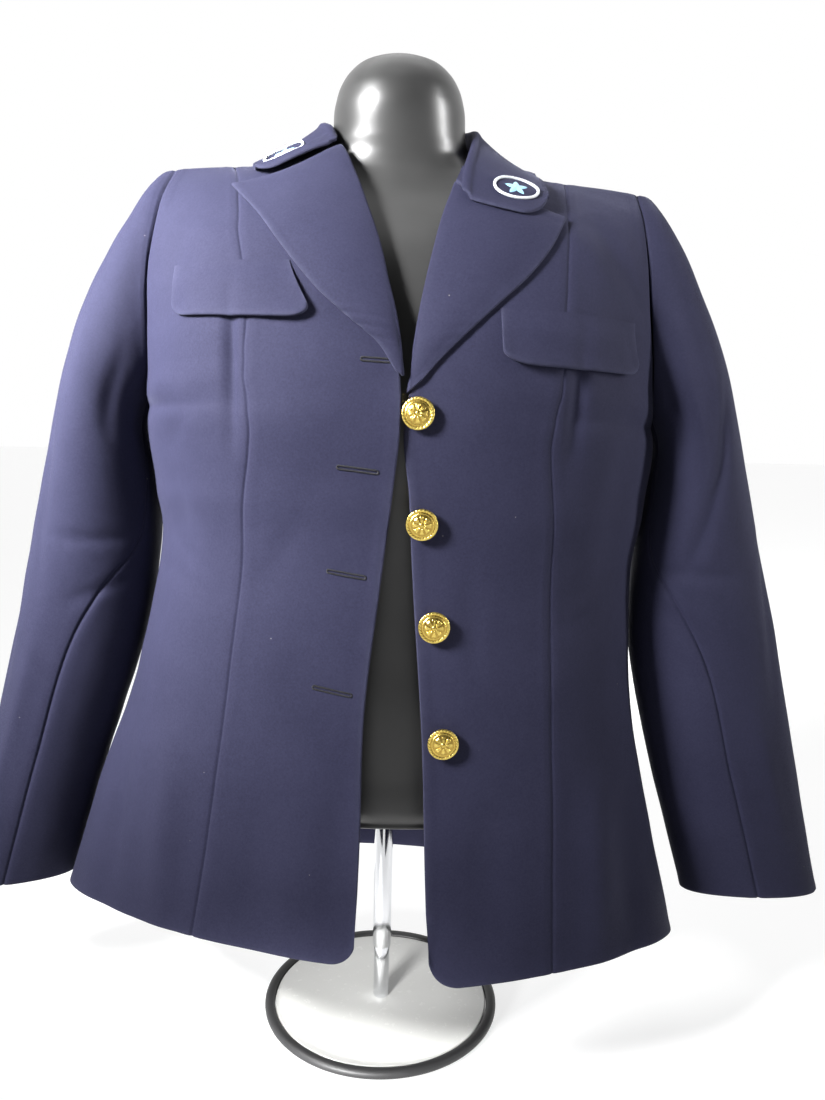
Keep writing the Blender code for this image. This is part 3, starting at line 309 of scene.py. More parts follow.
# The dress form's level sections: up, half width, depth to the front, depth to the back, squareness
FORM_SECTIONS: Rows = (
    (205.0, 118, 66, 60, 2.3), (207, 129, 77, 71, 2.3), (214, 135, 83, 77, 2.3), (255, 143, 88, 82, 2.3),
    (305, 145, 90, 82, 2.3), (350, 138, 88, 74, 2.3), (400, 130, 88, 66, 2.3), (450, 134, 94, 68, 2.3),
    (500, 144, 102, 77, 2.3), (545, 150, 107, 84, 2.4), (590, 154, 104, 88, 2.4), (630, 158, 94, 86, 2.4),
    (665, 159, 79, 77, 2.3), (690, 152, 63.5, 67, 2.2), (707, 134, 52, 58, 2.1), (718, 105, 47, 55, 2.0),
    (727, 79, 44.5, 53, 2.0), (737, 59, 45, 52, 2.0), (750, 54, 47.5, 51.5, 2.0), (779, 51, 50.5, 51, 2.0),
    (792, 47, 47, 47, 2.0), (802, 40.5, 40.5, 40.5, 2.0), (809, 32.5, 32.5, 32.5, 2.0),
    (813.5, 24, 24, 24, 2.0), (816, 14, 14, 14, 2.0), (817, 4, 4, 4, 2.0),
)


def smooth_line(rows: Rows, at: Array) -> Array:
    """A table's values between its rows: on each span a cubic with the slopes that the neighbouring rows give.

    Args:
        rows: the table; its first column is the place along the line.
        at: the places wanted, of any shape.

    Returns:
        The other columns' values, in a last axis.
    """
    table = np.asarray(rows, float)
    knots, values = table[:, 0], table[:, 1:]
    slopes = np.gradient(values, knots, axis=0)
    at = np.asarray(at, float)
    low = np.clip(np.searchsorted(knots, at, side="right") - 1, 0, len(knots) - 2)
    span = (knots[low + 1] - knots[low])[..., None]
    t = (at - knots[low])[..., None] / span
    return (
        values[low] * (1 + 2 * t) * (1 - t) ** 2
        + slopes[low] * span * t * (1 - t) ** 2
        + values[low + 1] * t * t * (3 - 2 * t)
        + slopes[low + 1] * span * t * t * (t - 1)
    )


def smooth_step(value: Array) -> Array:
    """0 below 0, 1 above 1, and the cubic 3t^2 - 2t^3 between."""
    value = np.clip(value, 0.0, 1.0)
    return value * value * (3 - 2 * value)


def unit(vectors: Array) -> Array:
    """Vectors divided by their lengths."""
    return vectors / np.maximum(np.linalg.norm(vectors, axis=-1, keepdims=True), 1e-12)


def matched(first: Array, second: Array) -> tuple[Array, Array]:
    """Both values as arrays of numbers, spread to one shape."""
    return tuple(np.broadcast_arrays(np.asarray(first, float), np.asarray(second, float)))


def grid_normals(points: Array) -> Array:
    """Unit normals of a grid: the cross product of its differences down the rows and along them."""
    return unit(np.cross(np.gradient(points, axis=0), np.gradient(points, axis=1)))


def furrows(folds: Rows, first: Array, second: Array) -> Array:
    """Depth of folds in mm: a bell across each fold's line times a half sine along it.

    Args:
        folds: start and end in the two coordinates, width and depth; a ridge has a negative depth.
        first: the first coordinate in mm.
        second: the second coordinate in mm.

    Returns:
        The summed depth at each place.
    """
    depth = np.zeros(np.shape(first))
    for start_1, start_2, end_1, end_2, width, height in folds:
        length = math.hypot(end_1 - start_1, end_2 - start_2)
        along_1, along_2 = (end_1 - start_1) / length, (end_2 - start_2) / length
        along = (first - start_1) * along_1 + (second - start_2) * along_2
        across = (first - start_1) * along_2 - (second - start_2) * along_1
        depth += height * np.sin(math.pi * np.clip(along / length, 0.0, 1.0)) * np.exp(-((across / width) ** 2))
    return depth


def spaced(count: int, start: bool = True, end: bool = True) -> Array:
    """Places from 0 to 1: even steps, with four more close to each end that is finished with a rounded edge.

    Args:
        count: how many even places.
        start: whether the first end is rounded.
        end: whether the last end is rounded.

    Returns:
        The places in order.
    """
    near = np.array([0.0012, 0.003, 0.006, 0.011])
    places = [np.linspace(0, 1, count)]
    if start:
        places.append(near)
    if end:
        places.append(1 - near)
    return np.unique(np.concatenate(places))


@dataclass(frozen=True)
class Swells:
    """Broad low swells of worn cloth: a sum of plane waves through space with fixed directions and phases."""

    gain: float = 2.2
    count: int = 16
    shortest: float = 0.030
    longest: float = 0.17
    height: float = 0.85 * MM
    seed: int = 11

    def at(self, points: Array) -> Array:
        """Long waves stand high and short ones low. The height depends on the place alone, so seams stay joined.

        Args:
            points: world points in metres.

        Returns:
            The height in metres at each.
        """
        random = np.random.default_rng(self.seed)
        ways = unit(random.normal(size=(self.count, 3)))
        lengths = np.geomspace(self.shortest, self.longest, self.count)
        phases = random.uniform(0, 2 * math.pi, self.count)
        waves = np.sin(points @ (ways * (2 * math.pi / lengths)[:, None]).T + phases)
        shares = lengths / lengths.sum()
        return self.height * self.gain * (waves * shares).sum(-1)


SWELLS = Swells()


def new_mesh(name: str, points: Array, faces: list[list[int]] | Array, uv: Array | None = None,
             wear: Array | None = None, sharp: float = 50.0) -> bpy.types.Object:
    """An object at the origin with smooth faces.

    Args:
        name: the piece's name.
        points: vertices in metres, in world axes.
        faces: vertex numbers of each face.
        uv: a place for each vertex on the flat cloth, in metres.
        wear: a number for each vertex, 1 where the surface is worn; on the cloth it also marks the painted sheen of
            the turned edges.
        sharp: edges above this angle in degrees stay sharp.

    Returns:
        The linked object.
    """
    mesh = bpy.data.meshes.new(name)
    mesh.from_pydata(points.reshape(-1, 3).tolist(), [], [list(map(int, face)) for face in faces])
    corners = np.empty(len(mesh.loops), np.int32)
    mesh.loops.foreach_get("vertex_index", corners)
    if uv is not None:
        layer = mesh.uv_layers.new(name="flat_cloth")
        layer.data.foreach_set("uv", uv.reshape(-1, 2)[corners].astype(np.float32).ravel())
    layer = mesh.attributes.new("wear", "FLOAT", "POINT")
    values = np.zeros(len(mesh.vertices)) if wear is None else wear
    layer.data.foreach_set("value", values.astype(np.float32).ravel())
    mesh.shade_smooth()
    mesh.set_sharp_from_angle(angle=math.radians(sharp))
    mesh.validate()
    piece = bpy.data.objects.new(name, mesh)
    bpy.context.scene.collection.objects.link(piece)
    return piece


def arc_lengths(points: Array, axis: int) -> Array:
    """Distance run along a grid's rows or columns from its first line."""
    steps = np.linalg.norm(np.diff(points, axis=axis), axis=-1)
    return np.concatenate([np.zeros_like(np.take(steps, [0], axis)), np.cumsum(steps, axis)], axis)


@dataclass
class ClothShell:
    """A cut piece of cloth: the grid of its middle surface, moved half a thickness to both sides.

    Near a turned edge the wall rounds off as a half circle; near a seam it sinks into the seam's ditch, with a low
    ridge over the seam allowance.
    """

    name: str
    points: Array
    normals: Array
    edges: tuple[Edge, Edge, Edge, Edge]
    thickness: float | Array = CLOTH
    turned_swell: float = 0.35
    turned_width: float = 5 * MM
    turned_fade: float = 6 * MM
    edge_wear_and_sheen_width: float = 2.2 * MM
    ditch: float = 0.9 * MM
    ditch_width: float = 1.3 * MM
    ridge: float = 0.22 * MM
    ridge_place: float = 7.0 * MM
    ridge_width: float = 2.5 * MM

    def distances(self) -> list[Array]:
        """Distance of every vertex from the first and last row and the first and last column."""
        down, along = arc_lengths(self.points, 0), arc_lengths(self.points, 1)
        return [down, down[-1:] - down, along, along[:, -1:] - along]

    def build(self) -> bpy.types.Object:
        """Makes the mesh with its flat UV map and the lighter band of its turned edges, partly wear and partly painted
        sheen.

        Returns:
            The piece.
        """
        middle, half = self.points.copy(), self.thickness / 2 * np.ones(self.points.shape[:2])
        wear = np.zeros(self.points.shape[:2])
        away = self.distances()
        for edge, distance in zip(self.edges, away):
            if edge is Edge.TURNED:
                half *= 1 + self.turned_swell * (1 - smooth_step((distance - self.turned_width) / self.turned_fade))
                # Lighter colour along turned edges: partly wear of the wool, partly a painted sheen on the pressed
                # edge.
                wear = np.maximum(wear, np.exp(-distance / self.edge_wear_and_sheen_width))
            if edge is Edge.SEAM:
                sunk = self.ditch * np.exp(-((distance / self.ditch_width) ** 2))
                raised = self.ridge * np.exp(-(((distance - self.ridge_place) / self.ridge_width) ** 2))
                middle += self.normals * (raised - sunk)[..., None]
        for edge, distance in zip(self.edges, away):
            if edge is Edge.TURNED:
                inside = np.clip(distance / half, 0.0, 1.0)
                half *= np.sqrt(np.clip(1 - (1 - inside) ** 2, 0.02, 1.0))
        rows, columns = middle.shape[:2]
        index = np.arange(rows * columns).reshape(rows, columns)
        sheet = np.stack([index[:-1, :-1], index[:-1, 1:], index[1:, 1:], index[1:, :-1]], -1).reshape(-1, 4)
        loop = np.concatenate([index[0, :-1], index[:-1, -1], index[-1, :0:-1], index[:0:-1, 0]])
        after = np.roll(loop, -1)
        count = rows * columns
        rim = np.stack([loop, loop + count, after + count, after], -1)
        faces = np.concatenate([sheet, sheet[:, ::-1] + count, rim])
        across_row = middle[:-1, 1:] - middle[:-1, :-1]
        down_row = middle[1:, :-1] - middle[:-1, :-1]
        if (np.cross(across_row, down_row) * self.normals[:-1, :-1]).sum() < 0:
            faces = faces[:, ::-1]
        outer, inner = middle + self.normals * half[..., None], middle - self.normals * half[..., None]
        uv = np.stack([away[2] - away[2][:, :1].mean(), away[0]], -1)
        return new_mesh(self.name, np.concatenate([outer.reshape(-1, 3), inner.reshape(-1, 3)]), faces,
                        np.concatenate([uv.reshape(-1, 2)] * 2), np.concatenate([wear.ravel()] * 2))

    def flat_size(self) -> tuple[float, float, float]:
        """The flat cut's size.

        Returns:
            The longest row and the longest column in metres, and the grid's area in square metres.
        """
        away = self.distances()
        diagonal_1 = self.points[1:, 1:] - self.points[:-1, :-1]
        diagonal_2 = self.points[1:, :-1] - self.points[:-1, 1:]
        area = float(np.linalg.norm(np.cross(diagonal_1, diagonal_2), axis=-1).sum() / 2)
        return float(away[2][:, -1].max()), float(away[0][-1].max()), area


@dataclass
class BodyCloth:
    """One side of the jacket's body: guide lines joined level by level with cubic curves, then folded.

    step is the small step along a surface that its slopes are taken from. The folds fade over side_fade of the way
    to the side. Below the shoulders the centre back stands centre_back mm to the wearer's own side.
    """

    side: Side
    step: float = 2e-3
    side_fade: float = 0.12
    centre_back: float = 2.0
    centre_fade: float = 0.15
    hem_corner: dict[Side, float] = field(default_factory=lambda: {Side.RIGHT: 20.0, Side.LEFT: 25.0})
    corner_reach: float = 60.0
    rounds: int = 14
    centre_columns: int = 66
    side_columns: int = 60

    def guides(self, face: Face) -> tuple[Rows, Rows]:
        """The two guide lines that bound one half of the front or of the back."""
        sides = SIDE_SEAM[self.side] + ARMHOLE[self.side, face]
        return (FRONT_EDGE[self.side] if face is Face.FRONT else SPINE + BACK_NECK[self.side]), sides

    def plain(self, face: Face, level: Array, across: Array) -> Array:
        """Points (out, away, up) in mm before the folds: at each level a cubic curve from the edge to the side.

        Args:
            face: front or back.
            level: 0 at the hem to 3 at the shoulder.
            across: 0 at the front or back edge to 1 at the side.

        Returns:
            The points, in a last axis of three.
        """
        level, across = matched(level, across)
        edge_rows, side_rows = self.guides(face)
        edge, rim = smooth_line(edge_rows, level), smooth_line(side_rows, level)
        rim[..., 1] = np.clip(rim[..., 1], 0.0, None)
        if face is Face.BACK:
            edge[..., 0] = np.clip(edge[..., 0], 0.0, None)
        pull_1, bump, pull_2, turn, lift_1, lift_2 = np.moveaxis(smooth_line(SECTION[face], level), -1, 0)
        span, turn = rim - edge, np.radians(turn)
        reach = pull_2 * (-span[..., 1] * np.cos(turn) + span[..., 0] * np.sin(turn))
        first = edge + np.stack([pull_1 * span[..., 0], bump, span[..., 2] / 3 + lift_1], -1)
        second = rim + np.stack([-reach * np.sin(turn), reach * np.cos(turn), -span[..., 2] / 3 + lift_2], -1)
        s = across[..., None]
        points = edge * (1 - s) ** 3 + 3 * first * s * (1 - s) ** 2 + 3 * second * s * s * (1 - s) + rim * s**3
        if face is Face.FRONT:
            corner = self.hem_corner[self.side]
            inset = np.clip(corner - np.linalg.norm((points - edge)[..., :2], axis=-1), 0.0, corner)
            fade = np.clip(1 - (edge[..., 2] - FRONT_EDGE[self.side][0][3]) / self.corner_reach, 0.0, 1.0)
            points[..., 2] += fade * (corner - np.sqrt(corner**2 - inset**2))
        return points

    def slopes(self, surface: Callable[[Array, Array], Array], level: Array, across: Array) -> Array:
        """The slopes of a surface, from small steps along both of its directions.

        Args:
            surface: gives points for levels and places across.
            level: the levels wanted.
            across: the places across.

        Returns:
            Unit normals, away from the body.
        """
        above, below = (np.clip(level + step, 0, SHOULDER) for step in (self.step, -self.step))
        rise = surface(above, across) - surface(below, across)
        run = surface(level, across + self.step) - surface(level, across - self.step)
        return -unit(np.cross(run, rise))

    def folded(self, face: Face, level: Array, across: Array) -> Array:
        """The surface with the folds of the front pressed in along its normals.

        Args:
            face: front or back.
            level: the levels wanted.
            across: the places across.

        Returns:
            Points (out, away, up) in mm.
        """
        level, across = matched(level, across)
        points = self.plain(face, level, across)
        if face is Face.BACK:
            return points
        normals = self.slopes(lambda a, b: self.plain(face, a, b), level, across)
        depth = furrows(FOLDS[self.side], points[..., 0], points[..., 2])
        return points - normals * (depth * smooth_step((1 - across) / self.side_fade))[..., None]

    def at(self, face: Face, level: Array, across: Array) -> tuple[Array, Array]:
        """The middle surface with the swells of worn cloth.

        Args:
            face: front or back.
            level: the levels wanted.
            across: the places across.

        Returns:
            World points in metres and outward unit normals.
        """
        level, across = matched(level, across)
        turned = np.array([self.side.value, face.value, 1.0])
        points = self.folded(face, level, across) * turned * MM
        if face is Face.BACK:
            below = smooth_step((SHOULDER - level) / self.centre_fade)
            points[..., 0] += self.centre_back * MM * below * (1 - across)
        normals = self.slopes(lambda a, b: self.folded(face, a, b), level, across) * turned
        return points + normals * SWELLS.at(points)[..., None], normals

    def locate(self, out: Array, up: Array) -> tuple[Array, Array]:
        """Finds places of the front as seen from ahead, by Newton's method.

        Args:
            out: mm to the wearer's own side.
            up: mm over the table.

        Returns:
            The level and the share across of each.
        """
        step = 1e-4
        out, up = matched(out, up)
        level = np.interp(up, (SIDE_SEAM[self.side][0][3], SHOULDER_END[self.side][2]), (0.0, SHOULDER))
        across = np.clip(out / ARMPIT_POINT[self.side][0], 0.0, 1.0)
        for _ in range(self.rounds):
            here, rise, run = (
                self.folded(Face.FRONT, level + a, across + b)[..., [0, 2]] for a, b in ((0, 0), (step, 0), (0, step))
            )
            rise, run = (rise - here) / step, (run - here) / step
            error = np.stack([out, up], -1) - here
            scale = rise[..., 0] * run[..., 1] - rise[..., 1] * run[..., 0]
            level = level + np.clip((error[..., 0] * run[..., 1] - error[..., 1] * run[..., 0]) / scale, -0.2, 0.2)
            across = across + np.clip((rise[..., 0] * error[..., 1] - rise[..., 1] * error[..., 0]) / scale, -0.1, 0.1)
            level, across = np.clip(level, 0.0, SHOULDER - 2 * step), np.clip(across, -0.05, 1.0)
        return level, across

    def levels(self, count: int = 190) -> Array:
        """Rows of the fine grids, closer together above the armpit where the surface turns most.

        Args:
            count: how many even rows.

        Returns:
            The levels in order.
        """
        low, high = np.linspace(0, 2.1, count * 3 // 5), np.linspace(2.1, SHOULDER, count * 2 // 5)
        ends = np.array([0.003, 0.008, 0.016, 0.03, 2.975, 2.988, 2.995])
        return np.unique(np.concatenate([low, high, ends]))

    def fronts(self) -> list[ClothShell]:
        """The centre and side panels of the front, which share the princess seam.

        Returns:
            The two panels.
        """
        level = self.levels()[:, None]
        seam = smooth_line(PRINCESS[self.side], level)[..., 0]
        shells = []
        for part, across, edges in (
            ("centre", seam * spaced(self.centre_columns)[None, :], (Edge.TURNED, Edge.SEAM, Edge.TURNED, Edge.SEAM)),
            ("side", seam + (1 - seam) * spaced(self.side_columns)[None, :],
             (Edge.TURNED, Edge.SEAM, Edge.SEAM, Edge.SEAM)),
        ):
            points, normals = self.at(Face.FRONT, level, across)
            shells.append(ClothShell(f"front_{part}_{self.side.word}_cloth", points, normals, edges))
        return shells

    def back(self) -> ClothShell:
        """The back half from the centre back seam to the side seam.

        Returns:
            The panel.
        """
        level = self.levels()[:, None]
        points, normals = self.at(Face.BACK, level, spaced(self.side_columns)[None, :])
        centre = self.levels() <= SPINE[-1][0]
        normals[centre, 0] = unit(normals[centre, 0] * np.array([0, 1, 1]))
        edges = (Edge.TURNED, Edge.SEAM, Edge.SEAM, Edge.SEAM)
        return ClothShell(f"back_{self.side.word}_cloth", points, normals, edges)


@dataclass
class Sleeve:
    """One two-piece sleeve: ovals through four guide lines, eased to the armhole at the top.

    The ease ends at the share called reach. The folds are laid out on a tube of the radius and length in mm.
    """

    body: BodyCloth
    step: float = 2e-3
    reach: float = 0.12
    radius: float = 55.0
    length: float = 650.0
    gap: float = 0.25
    turned_gap: float = 1.3
    rows: int = 130
    top_columns: int = 72
    under_columns: int = 44

    def armhole(self, angle: Array) -> tuple[Array, Array]:
        """The armhole's seam line.

        Args:
            angle: radians from the shoulder round over the front.

        Returns:
            Points (out, forward, up) in mm, and the body's normals there.
        """
        half = (np.asarray(angle) % (2 * math.pi)) / math.pi
        points, normals = [], []
        for face in Face:
            way = np.array([1.0, -face.value, 1.0])
            level = np.linspace(SHOULDER, ARMPIT, 161)
            line = smooth_line(self.body.guides(face)[1], level) * way
            length = arc_lengths(line, 0)
            at = np.interp(half if face is Face.FRONT else 2 - half, length / length[-1], level)
            points.append(smooth_line(self.body.guides(face)[1], at) * way)
            normals.append(self.body.at(face, at, 1.0)[1])
        front = (half <= 1)[..., None]
        return np.where(front, *points), np.where(front, *normals)

    def oval(self, share: Array, angle: Array) -> Array:
        """The guide lines' mean plus a cosine, a sine and a double-angle term, which passes through all four.

        Args:
            share: 0 at the armhole to 1 at the cuff.
            angle: radians from the outer line round over the front.

        Returns:
            Points (out, forward, up) in mm.
        """
        lines = [smooth_line(SLEEVE[self.body.side][line], share) for line in ("outer", "front", "inner", "back")]
        outer, front, inner, back = lines
        cosine, sine, double = (wave[..., None] for wave in (np.cos(angle), np.sin(angle), np.cos(2 * angle)))
        return (
            sum(lines) / 4 + cosine * (outer - inner) / 2 + sine * (front - back) / 2
            + double * (outer + inner - front - back) / 4
        )

    def folded(self, share: Array, angle: Array) -> Array:
        """The sleeve with its folds, eased to the armhole.

        Args:
            share: the places along.
            angle: the angles round.

        Returns:
            Points (out, forward, up) in mm.
        """
        share, angle = matched(share, angle)
        loop, body_normals = self.armhole(angle)
        ease = np.clip(1 - share / self.reach, 0.0, 1.0)
        points = self.oval(share, angle) + (loop - self.oval(np.zeros_like(share), angle)) * ease[..., None] ** 2
        points[..., 0] += (self.gap + self.turned_gap * np.abs(body_normals[..., 0])) * ease
        turn = (angle + math.pi) % (2 * math.pi) - math.pi
        folds = tuple(
            (start * self.length, math.radians(turn_1) * self.radius, end * self.length,
             math.radians(turn_2) * self.radius, width, depth)
            for start, turn_1, end, turn_2, width, depth in SLEEVE_FOLDS[self.body.side]
        )
        depth = furrows(folds, share * self.length, turn * self.radius)
        return points - depth[..., None] * np.stack([np.cos(angle), np.sin(angle), 0 * angle], -1)

    def at(self, share: Array, angle: Array) -> tuple[Array, Array]:
        """The middle surface with the swells of worn cloth.

        Args:
            share: the places along.
            angle: the angles round.

        Returns:
            World points in metres and outward unit normals.
        """
        share, angle = matched(share, angle)
        turned = np.array([self.body.side.value, -1.0, 1.0])
        points = self.folded(share, angle) * turned * MM
        after, before = (np.clip(share + step, 0, 1) for step in (self.step, -self.step))
        down = self.folded(after, angle) - self.folded(before, angle)
        around = self.folded(share, angle + self.step) - self.folded(share, angle - self.step)
        normals = unit(np.cross(around, down))
        normals *= np.sign((normals[..., 0] * np.cos(angle) + normals[..., 1] * np.sin(angle)).sum())
        normals *= turned
        return points + normals * SWELLS.at(points)[..., None], normals

    def shells(self) -> list[ClothShell]:
        """The top and under sleeves, sewn together along two seams.

        Returns:
            The two shells.
        """
        ends = np.array([0.002, 0.005, 0.01, 0.017, 0.988, 0.994, 0.9975])
        share = np.unique(np.concatenate([np.linspace(0, 1, self.rows), ends]))
        front, back = np.radians(np.moveaxis(smooth_line(SLEEVE_SEAMS, share), -1, 0))
        made = []
        for part, start, end, count in (
            ("top", back - 2 * math.pi, front, self.top_columns), ("under", front, back, self.under_columns),
        ):
            angle = start[:, None] + (end - start)[:, None] * spaced(count)[None, :]
            points, normals = self.at(share[:, None], angle)
            made.append(ClothShell(f"sleeve_{part}_{self.body.side.word}_cloth", points, normals,
                                   (Edge.SEAM, Edge.TURNED, Edge.SEAM, Edge.SEAM), ditch=1.3 * MM))
        return made


@dataclass
class Lapel:
    """A peaked lapel: lines from the roll line to the free edge, lifted off the front, with the fold itself.

    Lifts are in mm and lengths along the lapel are shares of it. The puckers turn by ripple_turn radians over the
    whole lapel, from ripple_start on.
    """

    body: BodyCloth
    wall: float = 1.9 * MM
    rest: float = 0.35
    puff: float = 3.0
    lean: float = 0.7
    low_reach: float = 0.3
    top_lift: float = 0.8
    low_lift: float = 0.25
    ripple: dict[Side, float] = field(default_factory=lambda: {Side.RIGHT: 0.62, Side.LEFT: 0.2})
    ripple_start: float = 0.09
    ripple_length: float = 0.36
    ripple_turn: float = 92.0
    ripple_slant: float = 1.5
    rows: int = 140
    columns: int = 46
    roll_columns: int = 9
    roll_stretch: float = 1.25

    def grid(self, share: Array, u: Array) -> tuple[Array, Array]:
        """The middle surface and its normals.

        The lift over the front is the cloth, a rest gap, a little more at both ends and a puff shaped as a leaning
        half sine from the roll line to the edge; low puckers cross the lower part of the free edge.

        Args:
            share: places from the break, 0, to the top, 1.
            u: places from the roll line, 0, to the free edge, 1.

        Returns:
            Points and unit normals on a grid.
        """
        start, end = LAPEL_LEVELS[self.body.side]
        roll = start + (end - start) * share
        line = smooth_line(LAPEL_EDGE[self.body.side], share)
        edge_level, edge_across = self.body.locate(line[:, 0], line[:, 1])
        level = roll[:, None] + (edge_level - roll)[:, None] * u[None, :]
        points, normals = self.body.at(Face.FRONT, level, edge_across[:, None] * u[None, :])
        risen = smooth_step(share / self.low_reach)
        puff = self.puff * np.sin(math.pi * u**self.lean)[None, :] * risen[:, None]
        low = (np.sin(math.pi * np.clip((share - self.ripple_start) / self.ripple_length, 0, 1)) ** 2)[:, None]
        slanted = share[:, None] * self.ripple_turn + u[None, :] * self.ripple_slant
        wave = self.ripple[self.body.side] * low * (u[None, :] ** 0.9) * (1 + np.sin(slanted))
        ends = self.low_lift * (1 - risen) + self.top_lift * share**2
        lift = CLOTH + (self.rest + ends[:, None] + puff + wave) * MM
        points = points + normals * lift[..., None]
        found = grid_normals(points)
        return points, found * np.sign((found * normals).sum())

    def shell(self) -> ClothShell:
        """The lapel with a half-round fold that starts on the front's own edge.

        Returns:
            The lapel's shell.
        """
        share, u = spaced(self.rows), spaced(self.columns, start=False)
        points, normals = self.grid(share, u)
        start, end = LAPEL_LEVELS[self.body.side]
        edge = self.body.at(Face.FRONT, start + (end - start) * share, 0.0)[0]
        middle, radius = (edge + points[:, 0]) / 2, np.linalg.norm(points[:, 0] - edge, axis=-1) / 2
        up = unit(points[:, 0] - edge)
        outward = points[:, 0] - points[:, 1]
        outward = unit(outward - (outward * up).sum(-1, keepdims=True) * up)
        turn = np.linspace(0, math.pi, self.roll_columns, endpoint=False)[None, :, None]
        spoke = -np.cos(turn) * up[:, None] + np.sin(turn) * outward[:, None] * self.roll_stretch
        fold = middle[:, None] + spoke * radius[:, None, None]
        points = np.concatenate([fold, points], 1)
        normals = np.concatenate([unit(spoke), normals], 1)
        edges = (Edge.TURNED, Edge.TURNED, Edge.TUCKED, Edge.TURNED)
        return ClothShell(f"lapel_{self.body.side.word}_cloth", points, normals, edges, thickness=self.wall)


@dataclass
class Flap:
    """A pocket flap: its four corners on the front, the lower two rounded, lifted off towards its lower edge.

    Lifts are in mm. The wall thins to seam_share of its thickness at the seam, and by outer_thin at the outer end.
    bridge is the share of a furrow's depth that the flap spans.
    """

    body: BodyCloth
    corner: float = 0.16
    corner_draw: float = 1.6
    lift: float = 3.0
    rest: float = 0.35
    curl: float = 0.3
    curl_turn: float = 8.0
    curl_start: float = 1.0
    wall: float = 2.4 * MM
    seam_reach: float = 0.45
    seam_share: float = 0.22
    rows: int = 26
    columns: int = 56
    outer_start: float = 0.8
    outer_reach: float = 0.2
    outer_thin: float = 0.7
    bridge: float = 0.7
    outer_ease: dict[Side, float] = field(default_factory=lambda: {Side.RIGHT: 0.9, Side.LEFT: 0.45})

    def shell(self) -> ClothShell:
        """A grid between the corners in the front's own directions, its lower corners drawn up as quarter circles.

        Returns:
            The flap's shell.
        """
        corners = np.array(FLAP[self.body.side], float)
        level, across = self.body.locate(corners[:, 0], corners[:, 1])
        u, v = np.meshgrid(spaced(self.columns), spaced(self.rows), indexing="xy")
        past = np.clip((np.abs(2 * u - 1) - 1 + 2 * self.corner) / (2 * self.corner), 0.0, 1.0)
        v = v * (1 - self.corner * self.corner_draw * (1 - np.sqrt(1 - past**2)))

        def between(values: Array) -> Array:
            """The corners' values spread over the grid."""
            top = values[0] + (values[1] - values[0]) * u
            return top + (values[3] + (values[2] - values[3]) * u - top) * v

        level, across = between(level), between(across)
        points, normals = self.body.at(Face.FRONT, level, across)
        plain = self.body.plain(Face.FRONT, level, across)
        spanned = np.clip(furrows(FOLDS[self.body.side], plain[..., 0], plain[..., 2]), 0.0, None) * self.bridge * MM
        straight = self.body.slopes(lambda a, b: self.body.plain(Face.FRONT, a, b), level, across)
        straight *= np.array([self.body.side.value, Face.FRONT.value, 1.0])
        points = points + straight * spanned[..., None]
        curl = 1 + self.curl * np.sin(u * self.curl_turn + self.curl_start) * v
        ease = 1 - self.outer_ease[self.body.side] * u**2
        lift = (CLOTH + self.wall) / 2 + (self.rest + self.lift * v**2 * curl * ease) * MM
        points = points + unit(normals + 2 * straight) * lift[..., None]
        found = grid_normals(points)
        found *= np.sign((found * normals).sum())
        outer = smooth_step((u - self.outer_start) / self.outer_reach)
        end = 1 - self.outer_ease[self.body.side] * self.outer_thin * outer
        thin = self.wall * (self.seam_share + (1 - self.seam_share) * smooth_step(v / self.seam_reach) * end)
        points = points - normals * ((self.wall - thin) / 2)[..., None]
        edges = (Edge.TUCKED, Edge.TURNED, Edge.TURNED, Edge.TURNED)
        return ClothShell(f"flap_{self.body.side.word}_cloth", points, found, edges, thickness=thin)


